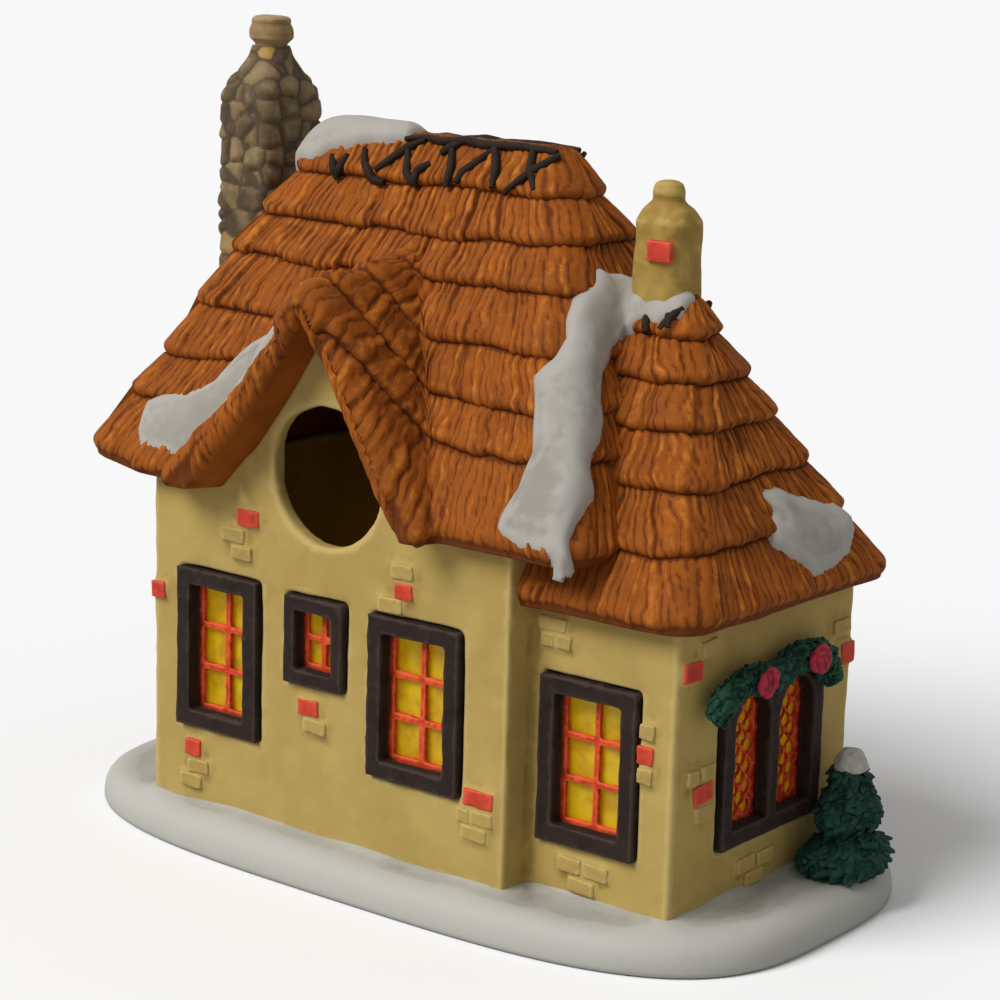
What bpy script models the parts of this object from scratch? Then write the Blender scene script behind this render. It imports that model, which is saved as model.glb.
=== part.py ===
"""Light-up christmas village cottage of matt porcelain, built in metres with +Z up.

The long side that holds the lamp opening faces -Y, the stone chimney stands at -X and the lower
wing with the arched window at +X. The origin is under the middle of the snow base.
"""
import math

import bmesh
import bpy
import numpy as np

MM = 0.001

# Clearance between pieces that rest on or fit in each other.
GAP = 0.3 * MM

# Snow base: a rounded slab, with the house a little behind its middle.
BASE_LENGTH = 198.0 * MM
BASE_DEPTH = 113.0 * MM
BASE_HEIGHT = 9.0 * MM
BASE_SQUARENESS = 3.4
RIDGE_Y = -2.35 * MM

# Walls: the main block, and the narrower wing that stands against its right wall.
WALL = 4.0 * MM
MAIN_LEFT = -64.7 * MM
MAIN_LENGTH = 106.7 * MM
MAIN_HALF_DEPTH = 44.05 * MM
MAIN_WALL_TOP = 89.2 * MM
WING_LENGTH = 37.7 * MM
WING_HALF_DEPTH = 35.3 * MM
WING_WALL_TOP = 77.2 * MM
PASSAGE_WIDTH = 56.0 * MM
PASSAGE_TOP = 68.0 * MM

# Thatched roofs: heights, overhangs and the sweep of the hips.
THATCH_STEP = 2.1 * MM
THATCH = 4.9 * MM
SOFFIT = 2.7 * MM
RIDGE_HALF_WIDTH = 2.0 * MM
MAIN_RIDGE_Z = 166.5 * MM
MAIN_RIDGE_LEFT = -46.0 * MM
MAIN_RIDGE_RIGHT = 20.0 * MM
MAIN_EAVE_DEPTH = 4.6 * MM
MAIN_EAVE_LEFT = 17.8 * MM
MAIN_EAVE_RIGHT = 19.0 * MM
LEFT_HIP_SWEEP = 0.68
RIGHT_HIP_SWEEP = 0.9
MAIN_COURSE_HEIGHTS = (10.2, 10.1, 9.8, 12.2, 11.1, 9.4)
WING_RIDGE_Z = 137.0 * MM
WING_RIDGE_RIGHT = 56.0 * MM
WING_EAVE_DEPTH = 4.95 * MM
WING_EAVE_RIGHT = 5.8 * MM
WING_COURSE_HEIGHTS = (8.6, 8.8, 9.5, 10.3, 11.9)

# Cross gable over the lamp opening. Its slope is the run for each unit of fall.
GABLE_X = -9.0 * MM
GABLE_WALL_APEX_Z = 131.5 * MM
GABLE_SLOPE = 0.62
GABLE_THATCH_RISE = 6.6 * MM
GABLE_OVERHANG = 10.0 * MM
GABLE_RIDGE_RISE = 2.6 * MM
LAMP_HOLE_DIAMETER = 32.0 * MM
LAMP_HOLE_X = -10.6 * MM
LAMP_HOLE_Z = 93.9 * MM

# Windows: dark frames that stand proud of the wall, cast glazing bars and a yellow film behind.
FRAME_PROUD = 1.6 * MM
FRAME_BORDER = 4.0 * MM
BARS = 1.4 * MM
BAR_WIDTH = 1.5 * MM
BAR_EDGE = 0.8 * MM
FILM = 0.8 * MM

# Each plain window: middle along its wall, sill height, width, height, columns and rows.
REAR_WINDOWS = {
    "rear_left_window": (-43.0, 28.3, 25.2, 38.2, 2, 3),
    "rear_small_window": (-13.0, 45.2, 17.8, 20.6, 2, 2),
    "rear_right_window": (16.4, 28.3, 26.0, 37.4, 2, 3),
}
WING_REAR_WINDOWS = {"wing_rear_window": (57.9, 21.2, 25.6, 37.4, 2, 3)}
FRONT_WINDOWS = {
    "front_left_window": (-43.0, 28.3, 25.2, 38.2, 2, 3),
    "front_right_window": (24.0, 28.3, 25.2, 38.2, 2, 3),
}
WING_FRONT_WINDOWS = {"wing_front_window": (60.0, 33.6, 23.0, 28.0, 2, 2)}
SILL_DROP = 3.4 * MM
SILL_PROUD = 3.2 * MM
SILL_PAST_FRAME = 5.6 * MM

# Arched double window in the wing's end wall, with holes in a diamond lattice behind.
ARCH_Y = -0.4 * MM
ARCH_SILL_Z = 21.1 * MM
ARCH_SPRING_Z = 48.0 * MM
ARCH_LIGHT_WIDTH = 14.0 * MM
ARCH_BORDER = 3.8 * MM
LATTICE_PITCH = 4.6 * MM
LATTICE_HOLE = 3.2 * MM

# Front door, on the side away from the lamp opening.
DOOR_X = -9.0 * MM
DOOR_WIDTH = 19.0 * MM
DOOR_SPRING_Z = 40.0 * MM
DOOR_BORDER = 4.0 * MM
DOOR_THICKNESS = 2.4 * MM
DOOR_SILL = 2.0 * MM
KNOB_DIAMETER = 2.6 * MM
STEP_DEPTH = 7.0 * MM
STEP_HEIGHT = 2.2 * MM

# Relief bricks: middle along the wall, height, width and height of each, in groups by wall.
BRICK_PROUD = 0.8 * MM
MAIN_REAR_BRICKS = (
    (-33.6, 81.1, 6.6, 3.9), (-62.3, 59.4, 4.2, 3.9), (13.1, 72.1, 5.0, 3.6), (-14.5, 40.0, 6.1, 3.7),
    (-50.9, 22.8, 5.0, 4.0), (35.4, 29.5, 8.2, 3.8), (-38.4, 76.6, 7.2, 3.4), (-35.6, 72.6, 6.4, 3.2),
    (9.4, 68.4, 6.8, 3.4), (12.6, 76.4, 6.2, 3.2), (-12.6, 35.8, 6.6, 3.2), (-49.2, 18.4, 6.8, 3.2),
    (-51.6, 14.6, 6.6, 3.2), (36.4, 25.2, 6.0, 3.2), (31.4, 25.0, 3.2, 3.0), (34.4, 21.4, 7.0, 3.2),
)
WING_REAR_BRICKS = (
    (47.6, 69.6, 7.2, 3.0), (46.4, 66.0, 3.4, 3.0), (50.8, 66.0, 3.8, 3.0), (72.9, 45.6, 4.0, 4.0),
    (73.2, 50.8, 3.6, 3.4), (73.0, 41.0, 3.8, 3.4), (54.1, 16.8, 6.2, 3.4), (61.2, 16.6, 6.4, 3.4),
    (57.4, 12.6, 7.0, 3.2),
)
END_BRICKS = (
    (-32.8, 64.1, 6.6, 4.4), (-27.2, 36.2, 7.2, 4.2), (30.0, 55.8, 5.2, 5.0), (-27.0, 68.4, 6.0, 3.4),
    (-25.6, 40.6, 5.4, 3.2), (-31.2, 40.4, 4.2, 3.2), (-27.0, 31.8, 6.6, 3.4), (-9.2, 15.6, 7.2, 3.4),
    (-1.4, 15.4, 6.2, 3.4), (-5.6, 11.8, 7.0, 3.2), (27.0, 62.6, 7.0, 3.4),
)
FRONT_BRICKS = (
    (-58.0, 74.0, 7.0, 3.8), (-56.0, 69.8, 7.0, 3.4), (4.5, 58.0, 7.0, 3.8), (7.0, 53.8, 7.0, 3.4),
    (-28.0, 24.0, 7.0, 3.8), (-30.0, 19.8, 7.0, 3.4), (38.0, 20.0, 6.0, 3.8),
)

# Stone chimney on the outside of the left wall, with a clay pot on its neck.
CHIMNEY_WIDTH = 17.4 * MM
CHIMNEY_DEPTH = 21.5 * MM
CHIMNEY_MIDDLE_Y = 2.4 * MM
CHIMNEY_SHOULDER_Z = 175.0 * MM
CHIMNEY_NECK_Z = 184.2 * MM
CHIMNEY_NECK_WIDTH = 8.6 * MM
CHIMNEY_CORNER = 1.6 * MM
CHIMNEY_STONE_ROWS = 20
CHIMNEY_STONES_ROUND = 12
CHIMNEY_JOINT_DEPTH = 0.7 * MM
POT_HEIGHT = 7.6 * MM
POT_RADIUS = 5.3 * MM

# Small bottle-shaped chimney on the wing's ridge.
FLUE_X = 48.8 * MM
FLUE_WIDTH = 13.0 * MM
FLUE_SHOULDER_Z = 153.6 * MM
FLUE_TOP_Z = 162.4 * MM
FLUE_NECK_RADIUS = 3.3 * MM
FLUE_CORNER = 4.2 * MM

# Greenery: the tree by the end wall, and the garland with two bows over the arched window.
TREE_Y = 19.0 * MM
TREE_HALF_WIDTH = 8.8 * MM
TREE_HALF_LENGTH = 13.0 * MM
TREE_HEIGHT = 23.0 * MM
TREE_SNOW = 5.4 * MM
GARLAND_DEPTH = 4.6 * MM
GARLAND_HALF_WIDTH = 3.4 * MM
BOW_RADIUS = 3.9 * MM
BOW_DEPTH = 2.6 * MM

# Snow lying on the thatch: its least thickness, over the lower edge of each course.
SNOW = 1.0 * MM

MAIN_RIGHT = MAIN_LEFT + MAIN_LENGTH
WING_RIGHT = MAIN_RIGHT + WING_LENGTH
WALL_FOOT = BASE_HEIGHT + GAP
MAIN_EAVE_Z = MAIN_WALL_TOP - SOFFIT
WING_EAVE_Z = WING_WALL_TOP - SOFFIT
CHIMNEY_RIGHT = MAIN_LEFT - GAP
CHIMNEY_X = CHIMNEY_RIGHT - CHIMNEY_WIDTH / 2
TREE_X = WING_RIGHT + GAP + TREE_HALF_WIDTH + 0.4 * MM

for old in list(bpy.data.objects):
    bpy.data.objects.remove(old, do_unlink=True)
cottage = bpy.data.objects.new("cottage", None)
bpy.context.scene.collection.objects.link(cottage)


def paint(name, color, roughness=0.8):
    """Give a Principled material in one colour."""
    material = bpy.data.materials.new(name)
    material.use_nodes = True
    shader = material.node_tree.nodes["Principled BSDF"]
    shader.inputs["Base Color"].default_value = (*color, 1.0)
    shader.inputs["Roughness"].default_value = roughness
    shader.inputs["Metallic"].default_value = 0.0
    return material


SNOW_PAINT = paint("snow", (0.72, 0.74, 0.73), 0.6)
WALL_PAINT = paint("cream_wall", (0.62, 0.47, 0.20))
THATCH_PAINT = paint("thatch", (0.48, 0.14, 0.03))
STONE_PAINT = paint("chimney_stone", (0.17, 0.13, 0.07))
POT_PAINT = paint("chimney_clay", (0.28, 0.20, 0.09))
FRAME_PAINT = paint("dark_frame", (0.055, 0.035, 0.03))
BARS_PAINT = paint("orange_bars", (0.60, 0.08, 0.02))
FILM_PAINT = paint("yellow_film", (0.72, 0.48, 0.01), 0.4)
GREEN_PAINT = paint("evergreen", (0.01, 0.06, 0.045))
BOW_PAINT = paint("crimson_bow", (0.35, 0.01, 0.03))
DOOR_PAINT = paint("door_brown", (0.16, 0.06, 0.025))
KNOB_PAINT = paint("knob_gold", (0.55, 0.38, 0.08), 0.4)


def add(name, bm, material=None, smooth=False):
    """Turn a closed bmesh into an object under the cottage."""
    bmesh.ops.recalc_face_normals(bm, faces=bm.faces)
    mesh = bpy.data.meshes.new(name)
    bm.to_mesh(mesh)
    bm.free()
    if smooth:
        mesh.shade_smooth()
        mesh.set_sharp_from_angle(angle=math.radians(40))
    thing = bpy.data.objects.new(name, mesh)
    bpy.context.scene.collection.objects.link(thing)
    thing.parent = cottage
    if material:
        mesh.materials.append(material)
    return thing


def boolean(target, tool, operation):
    """Cut, join or clip target with tool, which then only guides."""
    modifier = target.modifiers.new(f"{operation.lower()} {tool.name}", "BOOLEAN")
    modifier.operation = operation
    modifier.solver = "EXACT"
    modifier.object = tool
    tool.hide_render = True
    tool.display_type = "WIRE"


def loft(name, loops, material=None, smooth=False):
    """Skin a stack of loops that have equal counts of points, and close both ends."""
    bm = bmesh.new()
    rings = [[bm.verts.new(point) for point in loop] for loop in loops]
    for lower, upper in zip(rings, rings[1:]):
        count = len(lower)
        for i in range(count):
            j = (i + 1) % count
            bm.faces.new((lower[i], lower[j], upper[j], upper[i]))
    bm.faces.new(rings[0][::-1])
    bm.faces.new(rings[-1])
    bmesh.ops.triangulate(bm, faces=bm.faces)
    return add(name, bm, material, smooth)


def box(name, low, high, material=None):
    """Make a block between two corners."""
    bm = bmesh.new()
    bmesh.ops.create_cube(bm, size=1.0)
    for vert in bm.verts:
        vert.co = [a + (0.5 + c) * (b - a) for a, b, c in zip(low, high, vert.co)]
    return add(name, bm, material)


def plate(name, outline, holes, front, back, material=None):
    """Extrude an outline with holes, drawn in x and z, from y = front to y = back."""
    bm = bmesh.new()
    edges = []
    for loop in [outline, *holes]:
        verts = [bm.verts.new((x, front, z)) for x, z in loop]
        edges += [bm.edges.new((a, b)) for a, b in zip(verts, verts[1:] + verts[:1])]
    bmesh.ops.triangle_fill(bm, use_beauty=True, use_dissolve=False, edges=edges, normal=(0, -1, 0))
    grown = bmesh.ops.extrude_face_region(bm, geom=list(bm.faces))
    moved = [item for item in grown["geom"] if isinstance(item, bmesh.types.BMVert)]
    bmesh.ops.translate(bm, verts=moved, vec=(0, back - front, 0))
    return add(name, bm, material)


def rectangle(middle, bottom, width, height):
    """List the corners of an upright rectangle."""
    left, right = middle - width / 2, middle + width / 2
    return [(left, bottom), (right, bottom), (right, bottom + height), (left, bottom + height)]


def circle(x, z, radius, count=12):
    """List points round a circle."""
    angles = [2 * math.pi * i / count for i in range(count)]
    return [(x + radius * math.cos(a), z + radius * math.sin(a)) for a in angles]


def arch(middle, bottom, spring, width, count=12):
    """List the outline of an opening with a round head."""
    radius = width / 2
    head = [math.pi * i / count for i in range(count + 1)]
    points = [(middle - radius, bottom), (middle + radius, bottom)]
    return points + [(middle + radius * math.cos(a), spring + radius * math.sin(a)) for a in head]


def superellipse(half_x, half_y, power, z, count=72):
    """List points of a rounded oblong at height z."""
    points = []
    for i in range(count):
        a = 2 * math.pi * i / count
        c, s = math.cos(a), math.sin(a)
        x = half_x * math.copysign(abs(c) ** (2 / power), c)
        y = half_y * math.copysign(abs(s) ** (2 / power), s)
        points.append((x, y, z))
    return points


def rounded_square(x, y, half_x, half_y, corner, z, arc=4):
    """List points of a rectangle with round corners at height z."""
    points = []
    for turn, (side_x, side_y) in enumerate(((1, 1), (-1, 1), (-1, -1), (1, -1))):
        for i in range(arc + 1):
            a = math.pi / 2 * (turn + i / arc)
            points.append((x + side_x * (half_x - corner) + corner * math.cos(a),
                           y + side_y * (half_y - corner) + corner * math.sin(a), z))
    return points


def place(thing, side, at=0.0):
    """Stand a piece drawn for a wall that faces -Y on the wall of the named side."""
    turns = {"rear": 0.0, "front": math.pi, "end": math.pi / 2}
    thing.rotation_euler = (0, 0, turns[side])
    thing.location = (0, at, 0) if side != "end" else (at, 0, 0)


# Snow base: the slab thins a little toward its top edge.
def snow_base():
    half_x, half_y = BASE_LENGTH / 2, BASE_DEPTH / 2
    loops = []
    for inset, z in ((1.2, 0.0), (0.0, 1.6), (0.4, 5.4), (2.0, 8.0), (4.4, 9.0)):
        height = z * MM * BASE_HEIGHT / (9.0 * MM)
        loops.append(superellipse(half_x - inset * MM, half_y - inset * MM, BASE_SQUARENESS, height))
    loft("snow_base", loops, SNOW_PAINT, smooth=True)


# Roof hulls. Each gives the solid under its thatch, grown by a margin where others are cut to it.
def main_rect(drop, grow=0.0):
    """Give the main roof's plan at a share of its fall: left, right and half depth."""
    left = MAIN_RIDGE_LEFT + (MAIN_LEFT - MAIN_EAVE_LEFT - MAIN_RIDGE_LEFT) * drop ** LEFT_HIP_SWEEP
    right = MAIN_RIDGE_RIGHT + (MAIN_RIGHT + MAIN_EAVE_RIGHT - MAIN_RIDGE_RIGHT) * drop ** RIGHT_HIP_SWEEP
    reach = MAIN_HALF_DEPTH + MAIN_EAVE_DEPTH - RIDGE_HALF_WIDTH
    return left - grow, right + grow, RIDGE_HALF_WIDTH + reach * drop + grow


def wing_rect(drop, grow=0.0):
    """Give the wing roof's plan at a share of its fall. Its left end lies inside the main roof."""
    right = WING_RIDGE_RIGHT + (WING_RIGHT + WING_EAVE_RIGHT - WING_RIDGE_RIGHT) * drop
    reach = WING_HALF_DEPTH + WING_EAVE_DEPTH - RIDGE_HALF_WIDTH
    left = MAIN_RIGHT - 1.5 * WALL
    return left, right + grow, RIDGE_HALF_WIDTH + reach * drop + grow


def ring(left, right, half, z):
    """List the corners of a roof's plan at height z."""
    low, high = RIDGE_Y - half, RIDGE_Y + half
    return [(left, low, z), (right, low, z), (right, high, z), (left, high, z)]


def thatch_hull(name, rect, ridge_z, eave_z, courses, grow=0.0, step=THATCH_STEP, material=None):
    """Stack the courses of a hipped thatch, each stepping out over the one below."""
    fall = ridge_z - eave_z
    out = 1.6 * grow
    edges = list(np.cumsum(courses) * MM) + [fall - SOFFIT / 2]
    loops = [ring(*rect(0.0, out), ridge_z + grow)]
    for edge in edges:
        drop = edge / fall
        loops.append(ring(*rect(drop, out + step), ridge_z - edge - grow))
        if step and edge != edges[-1]:
            loops.append(ring(*rect(drop, out), ridge_z - edge - grow))
    loops.append(ring(*rect(1.0, out), eave_z - 2 * grow))
    return loft(name, loops, material)


def attic_hull(name, rect, ridge_z, eave_z, wall_top, half_depth):
    """Give the hollow under a hipped thatch, above the tops of the walls."""
    fall = ridge_z - eave_z
    low, high = wall_top, ridge_z - 7.2 * MM
    foot_half = half_depth + GAP - SOFFIT * 0.62
    loops = []
    for share in (0.0, 0.36, 0.7, 1.0):
        z = low + (high - low) * share
        left, right, _ = rect((ridge_z - z) / fall)
        half = foot_half + (0.5 * MM - foot_half) * share
        loops.append(ring(left + 1.12 * THATCH, right - 1.2 * THATCH, half, z))
    return loft(name, loops)


def main_hull(name, grow=0.0, step=THATCH_STEP, material=None):
    return thatch_hull(name, main_rect, MAIN_RIDGE_Z, MAIN_EAVE_Z, MAIN_COURSE_HEIGHTS, grow, step, material)


def wing_hull(name, grow=0.0, step=THATCH_STEP, material=None):
    return thatch_hull(name, wing_rect, WING_RIDGE_Z, WING_EAVE_Z, WING_COURSE_HEIGHTS, grow, step, material)


def gable_section(y, apex_z, foot_z):
    """List the triangle of a gable across the ridge, from foot to foot."""
    half = (apex_z - foot_z) * GABLE_SLOPE
    return [(GABLE_X - half, y, foot_z), (GABLE_X + half, y, foot_z), (GABLE_X, y, apex_z)]


GABLE_FRONT_Y = RIDGE_Y - MAIN_HALF_DEPTH - GABLE_OVERHANG
GABLE_BACK_Y = RIDGE_Y - 3 * MM


def gable_hull(name, grow=0.0, step=THATCH_STEP, material=None):
    """Give the solid under the gable's thatch, whose courses step down toward its front."""
    fall = MAIN_RIDGE_Z - MAIN_EAVE_Z
    edges = [RIDGE_Y - main_rect(edge * MM / fall)[2] for edge in np.cumsum(MAIN_COURSE_HEIGHTS)]
    foot_z = MAIN_EAVE_Z - grow
    top = GABLE_WALL_APEX_Z + GABLE_THATCH_RISE + grow * 2
    run = GABLE_BACK_Y - GABLE_FRONT_Y

    def apex(y):
        return top + GABLE_RIDGE_RISE * (y - GABLE_FRONT_Y) / run

    loops = [gable_section(GABLE_FRONT_Y - grow, apex(GABLE_FRONT_Y), foot_z)]
    for y in reversed([edge for edge in edges if edge > GABLE_FRONT_Y + THATCH]):
        loops.append(gable_section(y - grow, apex(y), foot_z))
        if step:
            loops.append(gable_section(y - grow + 0.5 * MM, apex(y) + step, foot_z))
    loops.append(gable_section(GABLE_BACK_Y, apex(GABLE_BACK_Y), foot_z))
    return loft(name, loops, material)


def core(name, left, right, half, low, high):
    """Give the block of air inside and over the walls of one part of the house."""
    return box(name, (left, RIDGE_Y - half, low), (right, RIDGE_Y + half, high))


# Roof pieces, each cut to its neighbours.
def roofs():
    main_core = core("main_core", MAIN_LEFT - GAP, MAIN_RIGHT + GAP, MAIN_HALF_DEPTH + GAP,
                     MAIN_EAVE_Z - THATCH, MAIN_WALL_TOP + GAP)
    wing_core = core("wing_core", MAIN_RIGHT - WALL, WING_RIGHT + GAP, WING_HALF_DEPTH + GAP,
                     WING_EAVE_Z - THATCH, WING_WALL_TOP + GAP)
    main_attic = attic_hull("main_attic", main_rect, MAIN_RIDGE_Z, MAIN_EAVE_Z, MAIN_WALL_TOP, MAIN_HALF_DEPTH)
    wing_attic = attic_hull("wing_attic", wing_rect, WING_RIDGE_Z, WING_EAVE_Z, WING_WALL_TOP, WING_HALF_DEPTH)
    gable_clear = gable_hull("gable_clear", GAP)
    chimney_clear = box("chimney_clear",
                        (CHIMNEY_X - CHIMNEY_WIDTH / 2 - GAP, CHIMNEY_MIDDLE_Y - CHIMNEY_DEPTH / 2 - GAP, 0),
                        (MAIN_LEFT, CHIMNEY_MIDDLE_Y + CHIMNEY_DEPTH / 2 + GAP, CHIMNEY_SHOULDER_Z))
    main_roof = main_hull("main_roof", material=THATCH_PAINT)
    for tool in (main_attic, main_core, gable_clear, chimney_clear):
        boolean(main_roof, tool, "DIFFERENCE")

    gable_roof = gable_hull("cross_gable_roof", material=THATCH_PAINT)
    under_gable = loft("under_gable", [gable_section(y, GABLE_WALL_APEX_Z, MAIN_EAVE_Z - THATCH)
                                       for y in (GABLE_FRONT_Y - THATCH, GABLE_BACK_Y + THATCH)])
    for tool in (under_gable, main_attic, main_core):
        boolean(gable_roof, tool, "DIFFERENCE")

    main_clear = main_hull("main_clear", GAP)
    beside_wall = box("beside_wall", (0, RIDGE_Y - BASE_DEPTH, 0),
                      (MAIN_RIGHT + GAP, RIDGE_Y + BASE_DEPTH, MAIN_WALL_TOP + THATCH))
    wing_roof = wing_hull("wing_roof", material=THATCH_PAINT)
    for tool in (wing_attic, wing_core, beside_wall, main_clear):
        boolean(wing_roof, tool, "DIFFERENCE")


# Walls. Bricks stand proud of them as part of the casting.
def relief(wall, bricks, side, face):
    """Join raised bricks to the outside of a wall."""
    for i, (x, z, width, height) in enumerate(bricks):
        along = -x if side == "front" else x
        brick = plate(f"{wall.name}_brick_{i}", rectangle(along * MM, (z - height / 2) * MM, width * MM, height * MM),
                      [], -BRICK_PROUD, WALL / 2)
        place(brick, side, face)
        boolean(wall, brick, "UNION")


def opening(spec, side):
    """Give the wall's hole for a plain window, with the clearance round its frame."""
    x, z, width, height = (value * MM for value in spec[:4])
    along = -x if side == "front" else x
    return rectangle(along, z - GAP, width + 2 * GAP, height + 2 * GAP)


def wall(name, outline, holes, bricks, side, face):
    thing = plate(name, outline, holes, 0.0, WALL, WALL_PAINT)
    place(thing, side, face)
    relief(thing, bricks, side, face)
    return thing


def span(left, right, top):
    """List a plain wall's outline."""
    return [(left, WALL_FOOT), (right, WALL_FOOT), (right, top), (left, top)]


def walls():
    rear_face = RIDGE_Y - MAIN_HALF_DEPTH
    front_face = RIDGE_Y + MAIN_HALF_DEPTH
    apex = GABLE_WALL_APEX_Z - 2 * GAP
    foot = (apex - MAIN_WALL_TOP) * GABLE_SLOPE
    gable = [(MAIN_LEFT, WALL_FOOT), (MAIN_RIGHT, WALL_FOOT), (MAIN_RIGHT, MAIN_WALL_TOP),
             (GABLE_X + foot, MAIN_WALL_TOP), (GABLE_X, apex), (GABLE_X - foot, MAIN_WALL_TOP),
             (MAIN_LEFT, MAIN_WALL_TOP)]
    lamp_hole = circle(LAMP_HOLE_X, LAMP_HOLE_Z, LAMP_HOLE_DIAMETER / 2, 48)
    rear_holes = [opening(spec, "rear") for spec in REAR_WINDOWS.values()]
    wall("main_rear_wall", gable, [lamp_hole, *rear_holes], MAIN_REAR_BRICKS, "rear", rear_face)

    door_hole = arch(-DOOR_X, WALL_FOOT + DOOR_SILL - GAP, DOOR_SPRING_Z,
                     DOOR_WIDTH + 2 * DOOR_BORDER + 2 * GAP)
    front_holes = [opening(spec, "front") for spec in FRONT_WINDOWS.values()]
    wall("main_front_wall", span(-MAIN_RIGHT, -MAIN_LEFT, MAIN_WALL_TOP), [door_hole, *front_holes],
         FRONT_BRICKS, "front", front_face)

    inner_low = rear_face + WALL + GAP
    inner_high = front_face - WALL - GAP
    box("main_left_wall", (MAIN_LEFT, inner_low, WALL_FOOT), (MAIN_LEFT + WALL, inner_high, MAIN_WALL_TOP),
        WALL_PAINT)
    passage = rectangle(RIDGE_Y, WALL_FOOT + WALL, PASSAGE_WIDTH, PASSAGE_TOP - WALL_FOOT - WALL)
    right_wall = plate("main_right_wall", span(inner_low, inner_high, MAIN_WALL_TOP), [passage], 0.0, WALL,
                       WALL_PAINT)
    place(right_wall, "end", MAIN_RIGHT)

    wing_left = MAIN_RIGHT + GAP
    wing_right = WING_RIGHT - WALL - GAP
    wing_holes = [opening(spec, "rear") for spec in WING_REAR_WINDOWS.values()]
    wall("wing_rear_wall", span(wing_left, wing_right, WING_WALL_TOP), wing_holes, WING_REAR_BRICKS, "rear",
         RIDGE_Y - WING_HALF_DEPTH)
    front_wing_holes = [opening(spec, "front") for spec in WING_FRONT_WINDOWS.values()]
    wall("wing_front_wall", span(-wing_right, -wing_left, WING_WALL_TOP), front_wing_holes, (), "front",
         RIDGE_Y + WING_HALF_DEPTH)
    wall("wing_end_wall", span(RIDGE_Y - WING_HALF_DEPTH, RIDGE_Y + WING_HALF_DEPTH, WING_WALL_TOP),
         [twin_arch(GAP)], END_BRICKS, "end", WING_RIGHT)


# Windows.
def window(name, spec, side, face):
    """Fill one wall opening with a frame, glazing bars and a film behind them."""
    x, z, width, height = (value * MM for value in spec[:4])
    columns, rows = spec[4:]
    along = -x if side == "front" else x
    border = FRAME_BORDER if width > 20 * MM else 0.85 * FRAME_BORDER
    light_width, light_height = width - 2 * border, height - 2 * border
    light = rectangle(along, z + border, light_width, light_height)
    outline = rectangle(along, z, width, height)
    frame = plate(f"{name}_frame", outline, [light], -FRAME_PROUD, WALL - BARS - GAP, FRAME_PAINT)
    pane_width = (light_width - 2 * BAR_EDGE - (columns - 1) * BAR_WIDTH) / columns
    pane_height = (light_height - 2 * BAR_EDGE - (rows - 1) * BAR_WIDTH) / rows
    panes = []
    for column in range(columns):
        for row in range(rows):
            left = along - light_width / 2 + BAR_EDGE + column * (pane_width + BAR_WIDTH)
            bottom = z + border + BAR_EDGE + row * (pane_height + BAR_WIDTH)
            panes.append(rectangle(left + pane_width / 2, bottom, pane_width, pane_height))
    bars = plate(f"{name}_bars", outline, panes, WALL - BARS, WALL, BARS_PAINT)
    film = plate(f"{name}_film", outline, [], WALL + GAP, WALL + GAP + FILM, FILM_PAINT)
    for piece in (frame, bars, film):
        place(piece, side, face)


def twin_arch(grow=0.0):
    """List the outline round both arches of the end window."""
    reach = ARCH_LIGHT_WIDTH / 2 + ARCH_BORDER + grow
    offset = (ARCH_LIGHT_WIDTH + ARCH_BORDER) / 2
    meet = math.acos(offset / reach)
    points = [(ARCH_Y - offset - reach, ARCH_SILL_Z - grow), (ARCH_Y + offset + reach, ARCH_SILL_Z - grow)]
    for middle, start, stop in ((ARCH_Y + offset, 0.0, math.pi - meet), (ARCH_Y - offset, meet, math.pi)):
        for i in range(10):
            a = start + (stop - start) * i / 9
            if middle < ARCH_Y and i == 0:
                continue
            points.append((middle + reach * math.cos(a), ARCH_SPRING_Z + reach * math.sin(a)))
    return points


def inside_light(y, z, middle, margin):
    """Tell whether a lattice hole lies wholly inside one arched light."""
    reach = ARCH_LIGHT_WIDTH / 2 - margin
    if z < ARCH_SILL_Z + ARCH_BORDER + margin:
        return False
    if z <= ARCH_SPRING_Z:
        return abs(y - middle) <= reach
    return math.hypot(y - middle, z - ARCH_SPRING_Z) <= reach


def arched_window():
    offset = (ARCH_LIGHT_WIDTH + ARCH_BORDER) / 2
    middles = (ARCH_Y - offset, ARCH_Y + offset)
    lights = [arch(middle, ARCH_SILL_Z + ARCH_BORDER, ARCH_SPRING_Z, ARCH_LIGHT_WIDTH) for middle in middles]
    frame = plate("arched_window_frame", twin_arch(), lights, -FRAME_PROUD, WALL - BARS - GAP, FRAME_PAINT)
    holes = []
    rows = int((ARCH_SPRING_Z + ARCH_LIGHT_WIDTH / 2 - ARCH_SILL_Z) / (LATTICE_PITCH / 2))
    for middle in middles:
        for row in range(rows + 1):
            z = ARCH_SILL_Z + ARCH_BORDER + LATTICE_PITCH * (0.5 + row / 2)
            for column in range(-3, 4):
                y = middle + LATTICE_PITCH * (column + (row % 2) / 2)
                if inside_light(y, z, middle, LATTICE_HOLE / 2 + 0.2 * MM):
                    holes.append(circle(y, z, LATTICE_HOLE / 2, 8))
    lattice = plate("arched_window_lattice", twin_arch(), holes, WALL - BARS, WALL, BARS_PAINT)
    film = plate("arched_window_film", twin_arch(), [], WALL + GAP, WALL + GAP + FILM, FILM_PAINT)
    for piece in (frame, lattice, film):
        place(piece, "end", WING_RIGHT)


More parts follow.
